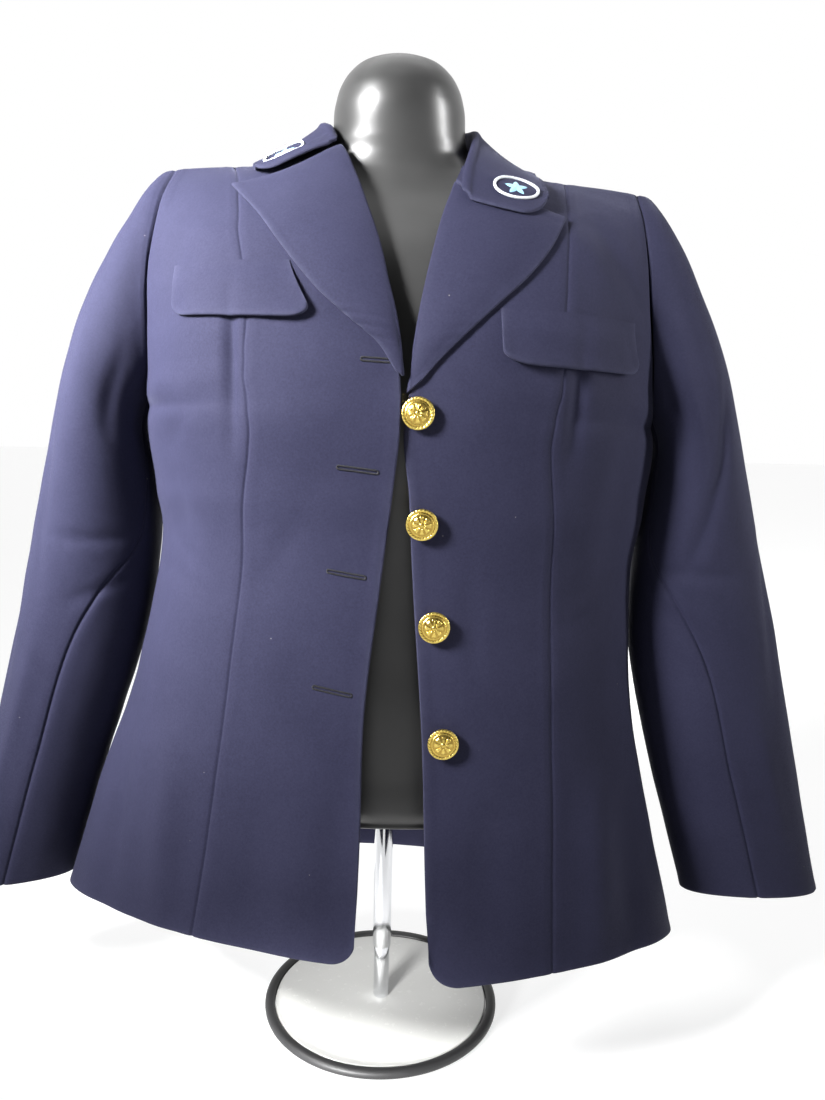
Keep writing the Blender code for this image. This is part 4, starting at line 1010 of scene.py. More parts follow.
@dataclass
class Collar:
    """Stand and fall in one piece round the neck: straight stand, half-round crest, then the fall, settled on.

    Places across are shares from the neck seam, 0, to the free edge, 1. Places along run from -1 to 1, and the front
    takes over from the back at front_start.
    """

    bodies: dict[Side, BodyCloth]
    lapels: dict[Side, Lapel]
    wall: float = 2.2 * MM
    gap: float = 0.9 * MM
    seam_gap: float = 0.3 * MM
    lobe: float = 0.80
    edge_round: float = 0.11
    fold_round: float = 0.06
    stand: float = 0.30
    turn: float = 0.16
    crest: float = 3.0
    front_start: float = 0.6
    smoothings: int = 6
    rows: int = 171
    crowding: float = 1.25
    body_reach: float = 6.0 * MM
    lapel_reach: float = 16.0 * MM
    end_level: dict[Side, float] = field(default_factory=lambda: {Side.RIGHT: 2.97, Side.LEFT: 2.87})

    def neckline(self, share: Array) -> tuple[Array, Array]:
        """The body's neckline.

        Args:
            share: places from the right end, -1, to the left end, 1.

        Returns:
            World points and normals.
        """
        size = np.abs(share)
        found = np.zeros((2, len(share), 3))
        for side, body in self.bodies.items():
            back_level = np.interp(size, (0, 0.2, 0.4, self.front_start), (SPINE[-1][0], 2.85, 2.93, SHOULDER))
            front_level = np.interp(size, (self.front_start, 1.0), (SHOULDER, self.end_level[side]))
            back = np.stack(body.at(Face.BACK, back_level, 0.0))
            front = np.stack(body.at(Face.FRONT, front_level, 0.0))
            here = np.where((size > self.front_start)[:, None], front, back)
            mine = (share * side.value > 0) | ((share == 0) & (side is Side.LEFT))
            found = np.where(mine[:, None], here, found)
        return found[0], found[1]

    def settle(self, points: Array, support: tuple[Array, Array], clearance: float, reach: float) -> Array:
        """Moves points that lie over a surface, or within reach of its edge, out along its normal to clear it.

        Args:
            points: the points to move.
            support: the surface's points and normals.
            clearance: the height that the points keep over it.
            reach: how far past the surface's edge a point still counts.

        Returns:
            The moved points.
        """
        places, normals = (values.reshape(-1, 3) for values in support)
        squares = (points**2).sum(-1)[:, None] + (places**2).sum(-1)[None, :] - 2 * points @ places.T
        nearest = squares.argmin(1)
        away = points - places[nearest]
        height = (away * normals[nearest]).sum(-1)
        aside = np.linalg.norm(away - height[:, None] * normals[nearest], axis=-1)
        lift = np.where(aside < reach, np.clip(clearance - height, 0.0, None), 0.0)
        return points + normals[nearest] * lift[:, None]

    def surface(self) -> tuple[Array, Array, Array, Array]:
        """The middle surface.

        Returns:
            The places along, the places across, and the grid's points and normals.
        """
        share = np.linspace(-1, 1, self.rows)[:, None]
        share = np.sign(share) * (1 - (1 - np.abs(share)) ** self.crowding)
        u = np.unique(np.concatenate([
            np.linspace(0, self.stand, 9), np.linspace(self.stand, self.stand + self.turn, 13),
            self.stand + self.turn + (1 - self.stand - self.turn) * spaced(30, start=False),
        ]))[None, :]
        asked = share
        past_edge = np.clip((u - self.lobe) / (1 - self.lobe), 0.0, 1.0)
        past_fold = np.clip((self.lobe - u) / (self.lobe - self.stand), 0.0, 1.0)
        rounded = self.edge_round * (1 - np.sqrt(1 - past_edge**2)) + self.fold_round * (1 - np.sqrt(1 - past_fold**2))
        share = np.sign(share) * (np.abs(share) - rounded * np.abs(share) ** 8)
        sections = smooth_line(COLLAR, share) * np.array([1, -1, 1, 1, -1, 1]) * MM
        fold, edge = sections[..., :3], sections[..., 3:]
        base, base_normals = (values[:, None] * np.ones_like(fold) for values in self.neckline(share[:, 0]))
        lying = smooth_step((np.abs(share[:, :1]) - self.front_start) / 0.25)[..., None]
        clear = (CLOTH + self.wall) / 2 + self.gap
        seam = clear + (self.seam_gap - self.gap) * (1 - lying)
        base = base + unit(unit(fold - base) * (1 - lying) + base_normals * lying) * seam
        outward = unit((edge - fold) * np.array([1, 1, 0]))
        angle = np.clip((u - self.stand) / self.turn, 0.0, 1.0)[..., None] * math.pi
        crest = self.crest * MM
        bend = fold + outward * crest * (1 - np.cos(angle)) + np.array([0.0, 0.0, crest]) * np.sin(angle)
        standing = base + (fold - base) * np.clip(u / self.stand, 0.0, 1.0)[..., None]
        down = np.clip((u - self.stand - self.turn) / (1 - self.stand - self.turn), 0.0, 1.0)[..., None]
        points = np.where((u < self.stand)[..., None], standing, bend + (edge - bend) * down)
        over = (u > self.stand + self.turn * 0.6) | (np.abs(share) > 0.7)
        places = np.linspace(0, 1, 60)
        for side, body in self.bodies.items():
            level = np.linspace(2.2, SHOULDER, 60)[:, None]
            for face in Face:
                points[over] = self.settle(points[over], body.at(face, level, places[None, :]), clear, self.body_reach)
            lapel = self.lapels[side].grid(places, np.linspace(0, 1, 40))
            points[over] = self.settle(points[over], lapel, clear, self.lapel_reach)
        for _ in range(self.smoothings):
            points[1:-1, 1:-1] += 0.2 * (
                points[:-2, 1:-1] + points[2:, 1:-1] + points[1:-1, :-2] + points[1:-1, 2:] - 4 * points[1:-1, 1:-1]
            ) * over[1:-1, 1:-1, None]
        return asked[:, 0], u[0], points, grid_normals(points)

    def shell(self) -> ClothShell:
        """The whole collar, its ends and free edge turned and its stand sewn to the neckline.

        Returns:
            The collar's shell.
        """
        points, normals = self.surface()[2:]
        edges = (Edge.TURNED, Edge.TURNED, Edge.TUCKED, Edge.TURNED)
        return ClothShell("collar_cloth", points, normals, edges, thickness=self.wall)


def lathe(name: str, radius: Array, height: Array, matrix: Matrix | None = None,
          wear: Array | None = None) -> bpy.types.Object:
    """A closed turned piece: rings of points (r cos a, r sin a, z) for each profile row, capped by one point.

    Args:
        name: the piece's name.
        radius: metres, one row for each ring and one column for each step round; the first and last rows are 0.
        height: metres, of the same shape.
        matrix: where the piece stands.
        wear: a number for each ring point.

    Returns:
        The object.
    """
    angle = np.linspace(0, 2 * math.pi, radius.shape[1], endpoint=False)[None, :]
    rings = np.stack([radius * np.cos(angle), radius * np.sin(angle), height], -1)
    return closed_rings(name, rings, matrix, wear)


def closed_rings(name: str, rings: Array, matrix: Matrix | None = None, wear: Array | None = None) -> bpy.types.Object:
    """Closed skin over rings of points; the first and last rings shrink to their mean points.

    Args:
        name: the piece's name.
        rings: metres, one row for each ring and one column for each step round.
        matrix: where the piece stands.
        wear: a number for each ring point.

    Returns:
        The object, its faces outwards.
    """
    rows, steps = rings.shape[:2]
    inner = rings[1:-1].reshape(-1, 3)
    first, last = len(inner), len(inner) + 1
    points = np.concatenate([inner, rings[0].mean(0)[None], rings[-1].mean(0)[None]])
    index = np.arange((rows - 2) * steps).reshape(rows - 2, steps)
    after = np.roll(index, -1, 1)
    quads = np.stack([index[:-1], after[:-1], after[1:], index[1:]], -1).reshape(-1, 4)
    caps = [[first, b, a] for a, b in zip(index[0], after[0])] + [[last, a, b] for a, b in zip(index[-1], after[-1])]
    faces = quads.tolist() + caps
    middle = points.mean(0)
    a, b, c = (points[quads[:, k]] for k in (0, 1, 2))
    if (np.cross(b - a, c - a) * ((a + c) / 2 - middle)).sum() < 0:
        faces = [face[::-1] for face in faces]
    if matrix is not None:
        turned = np.array(matrix)
        points = points @ turned[:3, :3].T + turned[:3, 3]
    values = None if wear is None else np.concatenate([wear[1:-1].ravel(), [wear[0].mean(), wear[-1].mean()]])
    return new_mesh(name, points, faces, wear=values, sharp=35.0)


def closed_tube(name: str, points: Array) -> bpy.types.Object:
    """A tube that runs back into itself.

    Args:
        name: the piece's name.
        points: a grid in metres whose rows run along the tube and whose columns run round it.

    Returns:
        The object.
    """
    index = np.arange(points.shape[0] * points.shape[1]).reshape(points.shape[:2])
    on, beside = np.roll(index, -1, 0), np.roll(index, -1, 1)
    quads = np.stack([index, on, np.roll(on, -1, 1), beside], -1).reshape(-1, 4)
    return new_mesh(name, points, quads, sharp=80.0)


def threads(name: str, starts: Array, ends: Array, lifts: Array, radius: float, arch: float) -> bpy.types.Object:
    """Many short stitches as one mesh: each a five-sided tube on a half-sine arch from start to end.

    Args:
        name: the piece's name.
        starts: one row for each stitch, metres.
        ends: the same for the far ends.
        lifts: the unit direction in which each stitch arches.
        radius: the thread's radius.
        arch: how high the middle stands.

    Returns:
        The object.
    """
    t = np.linspace(0, 1, 7)
    bow = np.sin(math.pi * t)
    path = starts[:, None] + (ends - starts)[:, None] * t[None, :, None] + lifts[:, None] * (arch * bow)[None, :, None]
    along = unit(ends - starts)[:, None]
    side = unit(np.cross(along, lifts[:, None]))
    angle = np.linspace(0, 2 * math.pi, 6, endpoint=False)
    swell = radius * (0.45 + 0.55 * np.sqrt(np.clip(bow, 0, 1)))
    around = np.cos(angle)[:, None] * side[:, :, None] + np.sin(angle)[:, None] * lifts[:, None, None]
    points = path[:, :, None] + around * swell[None, :, None, None]
    count, rows, sides = points.shape[:3]
    index = np.arange(count * rows * sides).reshape(count, rows, sides)
    after = np.roll(index, -1, 2)
    quads = np.stack([index[:, :-1], index[:, 1:], after[:, 1:], after[:, :-1]], -1).reshape(-1, 4)
    caps = np.concatenate([index[:, 0], index[:, -1, ::-1]])
    return new_mesh(name, points.reshape(-1, 3), quads.tolist() + caps.tolist(), sharp=80.0)


@dataclass
class Buttonholes:
    """Four worked buttonholes on the wearer's right front: dark stitches side by side round a slit.

    The slit's half width, the stitches' length, pitch and unevenness are in mm.
    """

    body: BodyCloth
    half_width: float = 0.5
    stitch: float = 1.5
    pitch: float = 0.62
    unevenness: float = 0.12
    thread: float = 0.28 * MM
    arch: float = 0.35 * MM
    clearance: float = 0.15 * MM

    def build(self) -> list[bpy.types.Object]:
        """Makes the four loops of stitches, each laid on the front's own surface.

        Returns:
            The four pieces.
        """
        made = []
        for number, (out_1, up_1, out_2, up_2) in enumerate(BUTTONHOLES, start=1):
            length = math.hypot(out_2 - out_1, up_2 - up_1)
            along = np.array([out_2 - out_1, up_2 - up_1]) / length
            across = np.array([-along[1], along[0]])
            rows = np.arange(0, length, self.pitch)
            turn = np.linspace(-math.pi / 2, math.pi / 2, 9)[1:-1]
            random = np.random.default_rng(number)
            near, far = [], []
            for sign in (-1.0, 1.0):
                jitter = random.uniform(-self.unevenness, self.unevenness, len(rows))
                near.append(along * rows[:, None] + across * sign * self.half_width * np.ones((len(rows), 1)))
                reach = self.half_width + self.stitch + jitter
                far.append(along * (rows + jitter)[:, None] + across * (sign * reach)[:, None])
            for place, sign in ((0.0, -1.0), (length, 1.0)):
                spoke = along * (sign * np.cos(turn))[:, None] + across * np.sin(turn)[:, None]
                near.append(along * place + spoke * self.half_width)
                far.append(along * place + spoke * (self.half_width + self.stitch))
            near, far = (np.concatenate(places) + np.array([out_1, up_1]) for places in (near, far))
            starts, normals = self.body.at(Face.FRONT, *self.body.locate(near[:, 0], near[:, 1]))
            ends = self.body.at(Face.FRONT, *self.body.locate(far[:, 0], far[:, 1]))[0]
            lift = normals * (CLOTH / 2 + self.clearance)
            made.append(threads(f"buttonhole_{number}", starts + lift, ends + lift, normals, self.thread, self.arch))
        return made


@dataclass
class Emblem:
    """A plain worked emblem on each collar end: a ring of white rope round a small pale-blue star.

    The ring's half width and half height, the rope's radius and the star's are in mm. rounds and pull steer the
    search for the places on the bent collar.
    """

    collar: Collar
    ring_width: float = 16.5
    ring_height: float = 13.5
    rope: float = 1.05
    twists: int = 21
    twist_depth: float = 0.16
    rope_rise: float = 0.75
    star: float = 9.0
    arms: int = 5
    arm_waist: float = 0.42
    arm_reach: float = 0.58
    star_foot: float = 0.1
    star_height: float = 0.85
    star_sink: float = 0.3
    stitches: int = 100
    stitch_depth: float = 0.05
    rounds: int = 8
    pull: float = 0.7
    span: float = 0.03
    place: dict[Side, tuple[float, float]] = field(
        default_factory=lambda: {Side.RIGHT: (-0.90, 0.77), Side.LEFT: (0.905, 0.77)}
    )

    def patch(self, side: Side) -> Callable[[Array, Array], tuple[Array, Array]]:
        """Lays a flat drawing on the collar's end.

        Args:
            side: the collar's end.

        Returns:
            A function from millimetres right and up on the drawing to world points and normals.
        """
        share, u, points, normals = self.collar.surface()

        def sample(s: Array, t: Array) -> tuple[Array, Array]:
            """The collar's surface between its grid points.

            Args:
                s: places along the collar.
                t: places across it.

            Returns:
                Points and unit normals.
            """
            row = np.interp(s, share, np.arange(len(share)))
            column = np.interp(t, u, np.arange(len(u)))
            i, j = np.clip(row.astype(int), 0, len(share) - 2), np.clip(column.astype(int), 0, len(u) - 2)
            a, b = (row - i)[..., None], (column - j)[..., None]

            def mix(grid: Array) -> Array:
                """The mean of the four values round each place, weighted by nearness."""
                low = grid[i, j] * (1 - b) + grid[i, j + 1] * b
                return low * (1 - a) + (grid[i + 1, j] * (1 - b) + grid[i + 1, j + 1] * b) * a

            return mix(points), unit(mix(normals))

        s0, u0 = self.place[side]
        steps = self.span * np.array([[0.0, 1, -1, 0, 0], [0.0, 0, 0, 1, -1]])
        around = sample(s0 + steps[0], u0 + steps[1])
        centre, normal = around[0][0], around[1][0]
        by_share, by_u = (around[0][1::2] - around[0][2::2]) / (2 * self.span)
        right = np.array([1.0, 0.0, 0.0])
        right = unit(right - normal * (right @ normal))
        up = unit(np.cross(normal, right))
        if up[2] < 0:
            up = -up
        shift = np.linalg.inv(np.array([[by_share @ right, by_u @ right], [by_share @ up, by_u @ up]])) * MM

        def to_world(first: Array, second: Array) -> tuple[Array, Array]:
            """The drawing's places on the collar.

            Args:
                first: mm to the right on the drawing.
                second: mm up on it.

            Returns:
                World points and unit normals.
            """
            wanted = np.stack([first, second], -1)
            asked = wanted
            for _ in range(self.rounds):
                moved = asked @ shift.T
                found, lifts = sample(s0 + moved[..., 0], u0 + moved[..., 1])
                seen = np.stack([(found - centre) @ right, (found - centre) @ up], -1) / MM
                asked = asked + (wanted - seen) * self.pull
            return found, lifts

        return to_world

    def build(self, side: Side) -> list[bpy.types.Object]:
        """Makes the rope ring, a tube whose skin is twisted by a sine, and the satin-stitched star.

        Args:
            side: the collar's end.

        Returns:
            The ring and the star.
        """
        to_world = self.patch(side)
        turn = np.linspace(0, 2 * math.pi, 260, endpoint=False)
        path, normals = to_world(self.ring_width * np.cos(turn), self.ring_height * np.sin(turn))
        along = unit(np.roll(path, -1, 0) - np.roll(path, 1, 0))
        aside = np.cross(normals, along)
        angle = np.linspace(0, 2 * math.pi, 16, endpoint=False)
        twist = 1 + self.twist_depth * np.cos(2 * (angle[None, :] + turn[:, None] * self.twists))
        spoke = np.cos(angle)[None, :, None] * aside[:, None] + np.sin(angle)[None, :, None] * normals[:, None]
        centre = path + normals * (CLOTH / 2 + self.rope_rise * MM)
        ring = closed_tube(f"emblem_ring_{side.word}", centre[:, None] + spoke * (self.rope * MM * twist)[..., None])
        arm = np.linspace(0, 1, 13)[:, None]
        ray = np.linspace(0, 2 * math.pi, 201)[None, :-1]
        point = np.abs(((ray - math.pi / 2) / (2 * math.pi / self.arms) + 0.5) % 1.0 - 0.5) * 2
        reach = self.star * (self.arm_waist + self.arm_reach * (1 - point) ** 1.15)
        first, second = arm * reach * np.cos(ray), arm * reach * np.sin(ray)
        places, lifts = to_world(first, second)
        stitch = self.stitch_depth * np.sin(ray * self.stitches) * np.sin(math.pi * arm)
        dome = self.star_height * np.sqrt(np.clip(1 - arm**2, 0, 1)) * (1 - 0.35 * point)
        height = self.star_foot + dome + stitch
        top = places + lifts * (CLOTH / 2 + height * MM)[..., None]
        under = places[-1:] + lifts[-1:] * (CLOTH / 2 - self.star_sink * MM)
        rings = np.concatenate([top, under, under.mean(1, keepdims=True) * np.ones_like(under)])
        star = closed_rings(f"emblem_star_{side.word}", rings)
        return [ring, star]


@dataclass
class Button:
    """A domed gilt button: rope rim, beaded inner line and a plain eight-petalled rosette, on a shank.

    Radii and heights are in mm. edge is the rest of the profile as radius and height, round the rim and the back to
    the shank's foot.
    """

    steps: int = 128
    crown: float = 7.25
    dome_fall: float = 1.9
    dome_radius: float = 9.6
    rim_start: float = 9.4
    rim_height: float = 4.95
    rope_radius: float = 10.55
    rope_half: float = 1.15
    rope_height: float = 0.75
    rope_strands: int = 28
    rope_slant: float = 3.2
    rope_zero: float = 10.5
    bead_radius: float = 8.5
    bead_half: float = 0.32
    beads: int = 44
    petals: int = 8
    petal_start: float = 1.9
    petal_end: float = 7.2
    petal_length: float = 5.3
    petal_height: float = 0.5
    vein_depth: float = 0.12
    vein_half: float = 0.35
    boss_radius: float = 1.8
    boss_height: float = 0.6
    edge: Rows = (
        (11.75, 4.7), (11.8, 4.2), (11.7, 3.6), (11.3, 3.0), (10.5, 2.7), (9.0, 2.5), (5.0, 2.4), (2.6, 2.3),
        (2.4, 1.8), (2.4, 0.0), (0.0, 0.0),
    )

    def build(self, name: str, point: Array, normal: Array) -> bpy.types.Object:
        """Turns the profile and raises its relief.

        The face is a shallow dome; the rim is a half-round rope whose height swings with the angle plus the radius;
        petals rise where the cosine of their number times the angle is high between two radii.

        Args:
            name: the piece's name.
            point: the foot of the shank.
            normal: the direction in which the face looks.

        Returns:
            The object.
        """
        r_face = np.concatenate([np.linspace(0, 9.2, 40), np.linspace(9.35, 11.6, 18)])
        r_edge, z_edge = np.array(self.edge).T
        angle = np.linspace(0, 2 * math.pi, self.steps, endpoint=False)[None, :]
        r = r_face[:, None]
        z = self.crown - self.dome_fall * (r / self.dome_radius) ** 2 + 0 * angle
        rope = np.sqrt(np.clip(1 - ((r - self.rope_radius) / self.rope_half) ** 2, 0, 1))
        strand = 0.8 + 0.2 * np.cos(self.rope_strands * angle + self.rope_slant * (r - self.rope_zero))
        z = np.where(r > self.rim_start, self.rim_height + self.rope_height * rope * strand, z)
        bead = np.exp(-(((r - self.bead_radius) / self.bead_half) ** 2)) * (0.22 + 0.1 * np.cos(self.beads * angle))
        petal = smooth_step((np.cos(self.petals * angle) + 0.55) / 0.6)
        petal = petal * smooth_step((r - self.petal_start) / 0.7) * smooth_step((self.petal_end - r) / 1.3)
        boss = self.boss_height * np.sqrt(np.clip(1 - (r / self.boss_radius) ** 2, 0, 1))
        vein = self.vein_depth * np.exp(-((np.sin(self.petals / 2 * angle) * r / self.vein_half) ** 2)) * petal
        arch = 0.7 + 0.3 * np.sin(math.pi * np.clip((r - self.petal_start) / self.petal_length, 0, 1))
        z = z + (bead + self.petal_height * petal * arch + boss - vein)
        relief = np.clip(bead * 3 + petal + boss + (r > self.rim_start) * rope, 0, 1)
        radius = np.concatenate([r + 0 * angle, r_edge[:, None] + 0 * angle]) * MM
        height = np.concatenate([z, z_edge[:, None] + 0 * angle]) * MM
        wear = np.concatenate([relief, np.ones((len(r_edge), self.steps))])
        turned = Vector(normal).to_track_quat("Z", "Y").to_matrix().to_4x4()
        return lathe(name, radius, height, Matrix.Translation(Vector(point)) @ turned, wear)


@dataclass
class DressForm:
    """The limbless torso: the solids' level sections with a finer grid, its foot rounded.

    The neck ends at top in a round crown, whose radius is crown_swell times the root of the depth under it. Sizes are
    in mm.
    """

    sides: int = 120
    centre_out: float = 2.0
    top: float = 817.0
    crown: float = 8.0
    crown_swell: float = 11.55

    def build(self) -> bpy.types.Object:
        """Stacks super-ellipses |x/a|^n + |y/b|^n = 1 whose sizes follow the table.

        Returns:
            The shell.
        """
        table = np.array(FORM_SECTIONS, float)
        up = np.concatenate([
            [205.0], np.linspace(205, 214, 9), np.linspace(217, 707, 110)[:-1], np.linspace(707, 750, 30)[:-1],
            np.linspace(750, self.top - self.crown, 36)[:-1], self.top - self.crown * np.linspace(1, 0.02, 14) ** 2,
            [self.top],
        ])
        half_width, front, back, square = (
            np.interp(up, table[:, 0], table[:, k])[:, None] if k == 4 else smooth_line(table[:, [0, k]], up)
            for k in (1, 2, 3, 4)
        )
        angle = np.linspace(0, 2 * math.pi, self.sides, endpoint=False)[None, :]
        cosine, sine = np.cos(angle), np.sin(angle)
        crown = self.crown_swell * np.sqrt(np.clip(self.top - up, 0, self.crown))[:, None]
        on_crown = up[:, None] > self.top - self.crown
        wide = np.where(on_crown, crown, half_width)
        deep = np.where(on_crown, crown, np.where(sine < 0, front, back))
        x = self.centre_out + wide * np.sign(cosine) * np.abs(cosine) ** (2 / square)
        y = deep * np.sign(sine) * np.abs(sine) ** (2 / square)
        return closed_rings("dress_form_shell", np.stack([x, y, up[:, None] + 0 * x], -1) * MM)


@dataclass
class Stand:
    """The two tubes, the round plate and the rubber ring, each a turned profile of radius and height in mm."""

    steps: int = 160
    rounding: float = 0.6
    upper: Rows = (
        (0, 204.7), (8.3, 204.7), (8.3, 57.4), (7.9, 57.0), (7.3, 57.0), (7.3, 60), (7.3, 85), (0, 85),
    )
    lower: Rows = ((0, 84.7), (7, 84.7), (7, 20), (7, 6.8), (0, 6.8))
    plate: Rows = ((0, 6.55), (30, 6.55), (60, 6.5), (95.6, 6.4), (96.5, 5.6), (96.5, 0), (50, 0), (0, 0))
    ring_radius: float = 101.4
    ring_half_width: float = 4.6
    ring_half_height: float = 4.25
    ring_squareness: float = 0.8

    def turn(self, name: str, profile: Rows) -> bpy.types.Object:
        """Turns (radius, height) rows in mm round the stand's axis, each corner rounded by three points.

        Args:
            name: the piece's name.
            profile: the rows, from the axis round to the axis.

        Returns:
            The object.
        """
        line = np.array(profile, float)
        back, on = line[:-2] - line[1:-1], line[2:] - line[1:-1]
        size = np.minimum(np.linalg.norm(back, axis=-1), np.linalg.norm(on, axis=-1))[:, None] / 3
        size = np.minimum(size, self.rounding)
        back, on = unit(back) * size, unit(on) * size
        corners = line[1:-1, None] + np.stack([back, (back + on) * 0.3, on], 1)
        table = np.concatenate([line[:1], corners.reshape(-1, 2), line[-1:]]) * MM
        round_about = np.ones((1, self.steps))
        return lathe(name, table[:, :1] * round_about, table[:, 1:] * round_about)

    def build(self) -> dict[str, bpy.types.Object]:
        """Makes the four pieces.

        Returns:
            The pieces by the solids that they stand for.
        """
        made = {
            "pole_upper": self.turn("pole_upper_tube", self.upper),
            "pole_lower": self.turn("pole_lower_tube", self.lower),
            "base_plate": self.turn("base_plate_disc", self.plate),
        }
        ring = np.linspace(0, 2 * math.pi, 28, endpoint=False)
        bulge = np.sign(np.sin(ring)) * np.abs(np.sin(ring)) ** self.ring_squareness
        r = self.ring_radius + self.ring_half_width * np.cos(ring)
        z = self.ring_half_height + self.ring_half_height * bulge
        angle = np.linspace(0, 2 * math.pi, 200, endpoint=False)[:, None]
        points = np.stack([r * np.cos(angle), r * np.sin(angle), z + 0 * angle], -1) * MM
        made["base_rim"] = closed_tube("base_rim_ring", points)
        return made


class Nodes:
    """A short way to write a material's node tree."""

    def __init__(self, name: str) -> None:
        """Makes the material with its shader.

        Args:
            name: the material's name.
        """
        self.material = bpy.data.materials.new(name)
        self.material.use_nodes = True
        self.tree = self.material.node_tree
        self.shader = self.tree.nodes["Principled BSDF"]
        self.place = self.add("ShaderNodeTexCoord").outputs["Object"]

    def add(self, kind: str, inputs: dict[str, object] | None = None, **settings: object) -> bpy.types.Node:
        """Adds a node; an input's value is a constant or another node's socket.

        Args:
            kind: the node's type name.
            inputs: the values or sockets for its inputs.
            **settings: properties of the node.

        Returns:
            The node.
        """
        node = self.tree.nodes.new(kind)
        for key, value in settings.items():
            setattr(node, key, value)
        for key, value in (inputs or {}).items():
            self.set(node, key, value)
        return node

    def set(self, node: bpy.types.Node, key: str | int, value: object) -> None:
        """Sets or links one input.

        Args:
            node: the node.
            key: the input's name or number.
            value: a constant or another node's socket.
        """
        if isinstance(value, Socket):
            self.tree.links.new(value, node.inputs[key])
        else:
            node.inputs[key].default_value = value

    def math(self, operation: str, first: Socket | float, second: Socket | float, clamp: bool = False) -> Socket:
        """One arithmetic step.

        Args:
            operation: the node's word for it.
            first: the first value.
            second: the second value.
            clamp: whether the result is held between 0 and 1.

        Returns:
            The result.
        """
        node = self.add("ShaderNodeMath", operation=operation, use_clamp=clamp)
        self.set(node, 0, first)
        self.set(node, 1, second)
        return node.outputs[0]

    def scaled(self, value: Socket, factor: float, offset: Socket | float = 0.0, clamp: bool = False) -> Socket:
        """A value times a factor, plus an offset or another value."""
        return self.math("ADD", self.math("MULTIPLY", value, factor), offset, clamp)

    def mix(self, share: Socket, first: Socket | Colour, second: Socket | Colour) -> Socket:
        """A colour between two colours.

        Args:
            share: 0 for the first colour, 1 for the second.
            first: the first colour.
            second: the second colour.

        Returns:
            The colour.
        """
        node = self.add("ShaderNodeMix", data_type="RGBA")
        for key, value in ((0, share), (6, first), (7, second)):
            self.set(node, key, value)
        return node.outputs[2]

    def noise(self, scale: float, detail: float = 2.0, roughness: float = 0.5, stretch: Place = (1.0, 1.0, 1.0),
              vector: Socket | None = None) -> Socket:
        """A noise value from 0 to 1.

        Args:
            scale: how many cells there are in a metre.
            detail: octaves.
            roughness: the weight of the finer octaves.
            stretch: how the place is scaled along each axis first.
            vector: the place, the object's own if none is given.

        Returns:
            The value.
        """
        place = self.place if vector is None else vector
        if stretch != (1.0, 1.0, 1.0):
            place = self.add("ShaderNodeMapping", {"Vector": place, "Scale": stretch}).outputs[0]
        inputs = {"Vector": place, "Scale": scale, "Detail": detail, "Roughness": roughness}
        return self.add("ShaderNodeTexNoise", inputs).outputs["Fac"]

    def bump(self, height: Socket, strength: float, distance: float, below: Socket | None = None) -> Socket:
        """A bumped normal.

        Args:
            height: the relief.
            strength: its weight.
            distance: its depth in metres.
            below: the normal under it, the surface's own if none is given.

        Returns:
            The normal.
        """
        node = self.add("ShaderNodeBump", {"Height": height, "Strength": strength, "Distance": distance})
        if below is not None:
            self.set(node, "Normal", below)
        return node.outputs[0]

    def finish(self, **constants: object) -> bpy.types.Material:
        """Sets the shader's own sockets.

        Args:
            **constants: a constant or a socket for each, the names with underscores for spaces.

        Returns:
            The material.
        """
        for key, value in constants.items():
            self.set(self.shader, key.replace("_", " "), value)
        return self.material


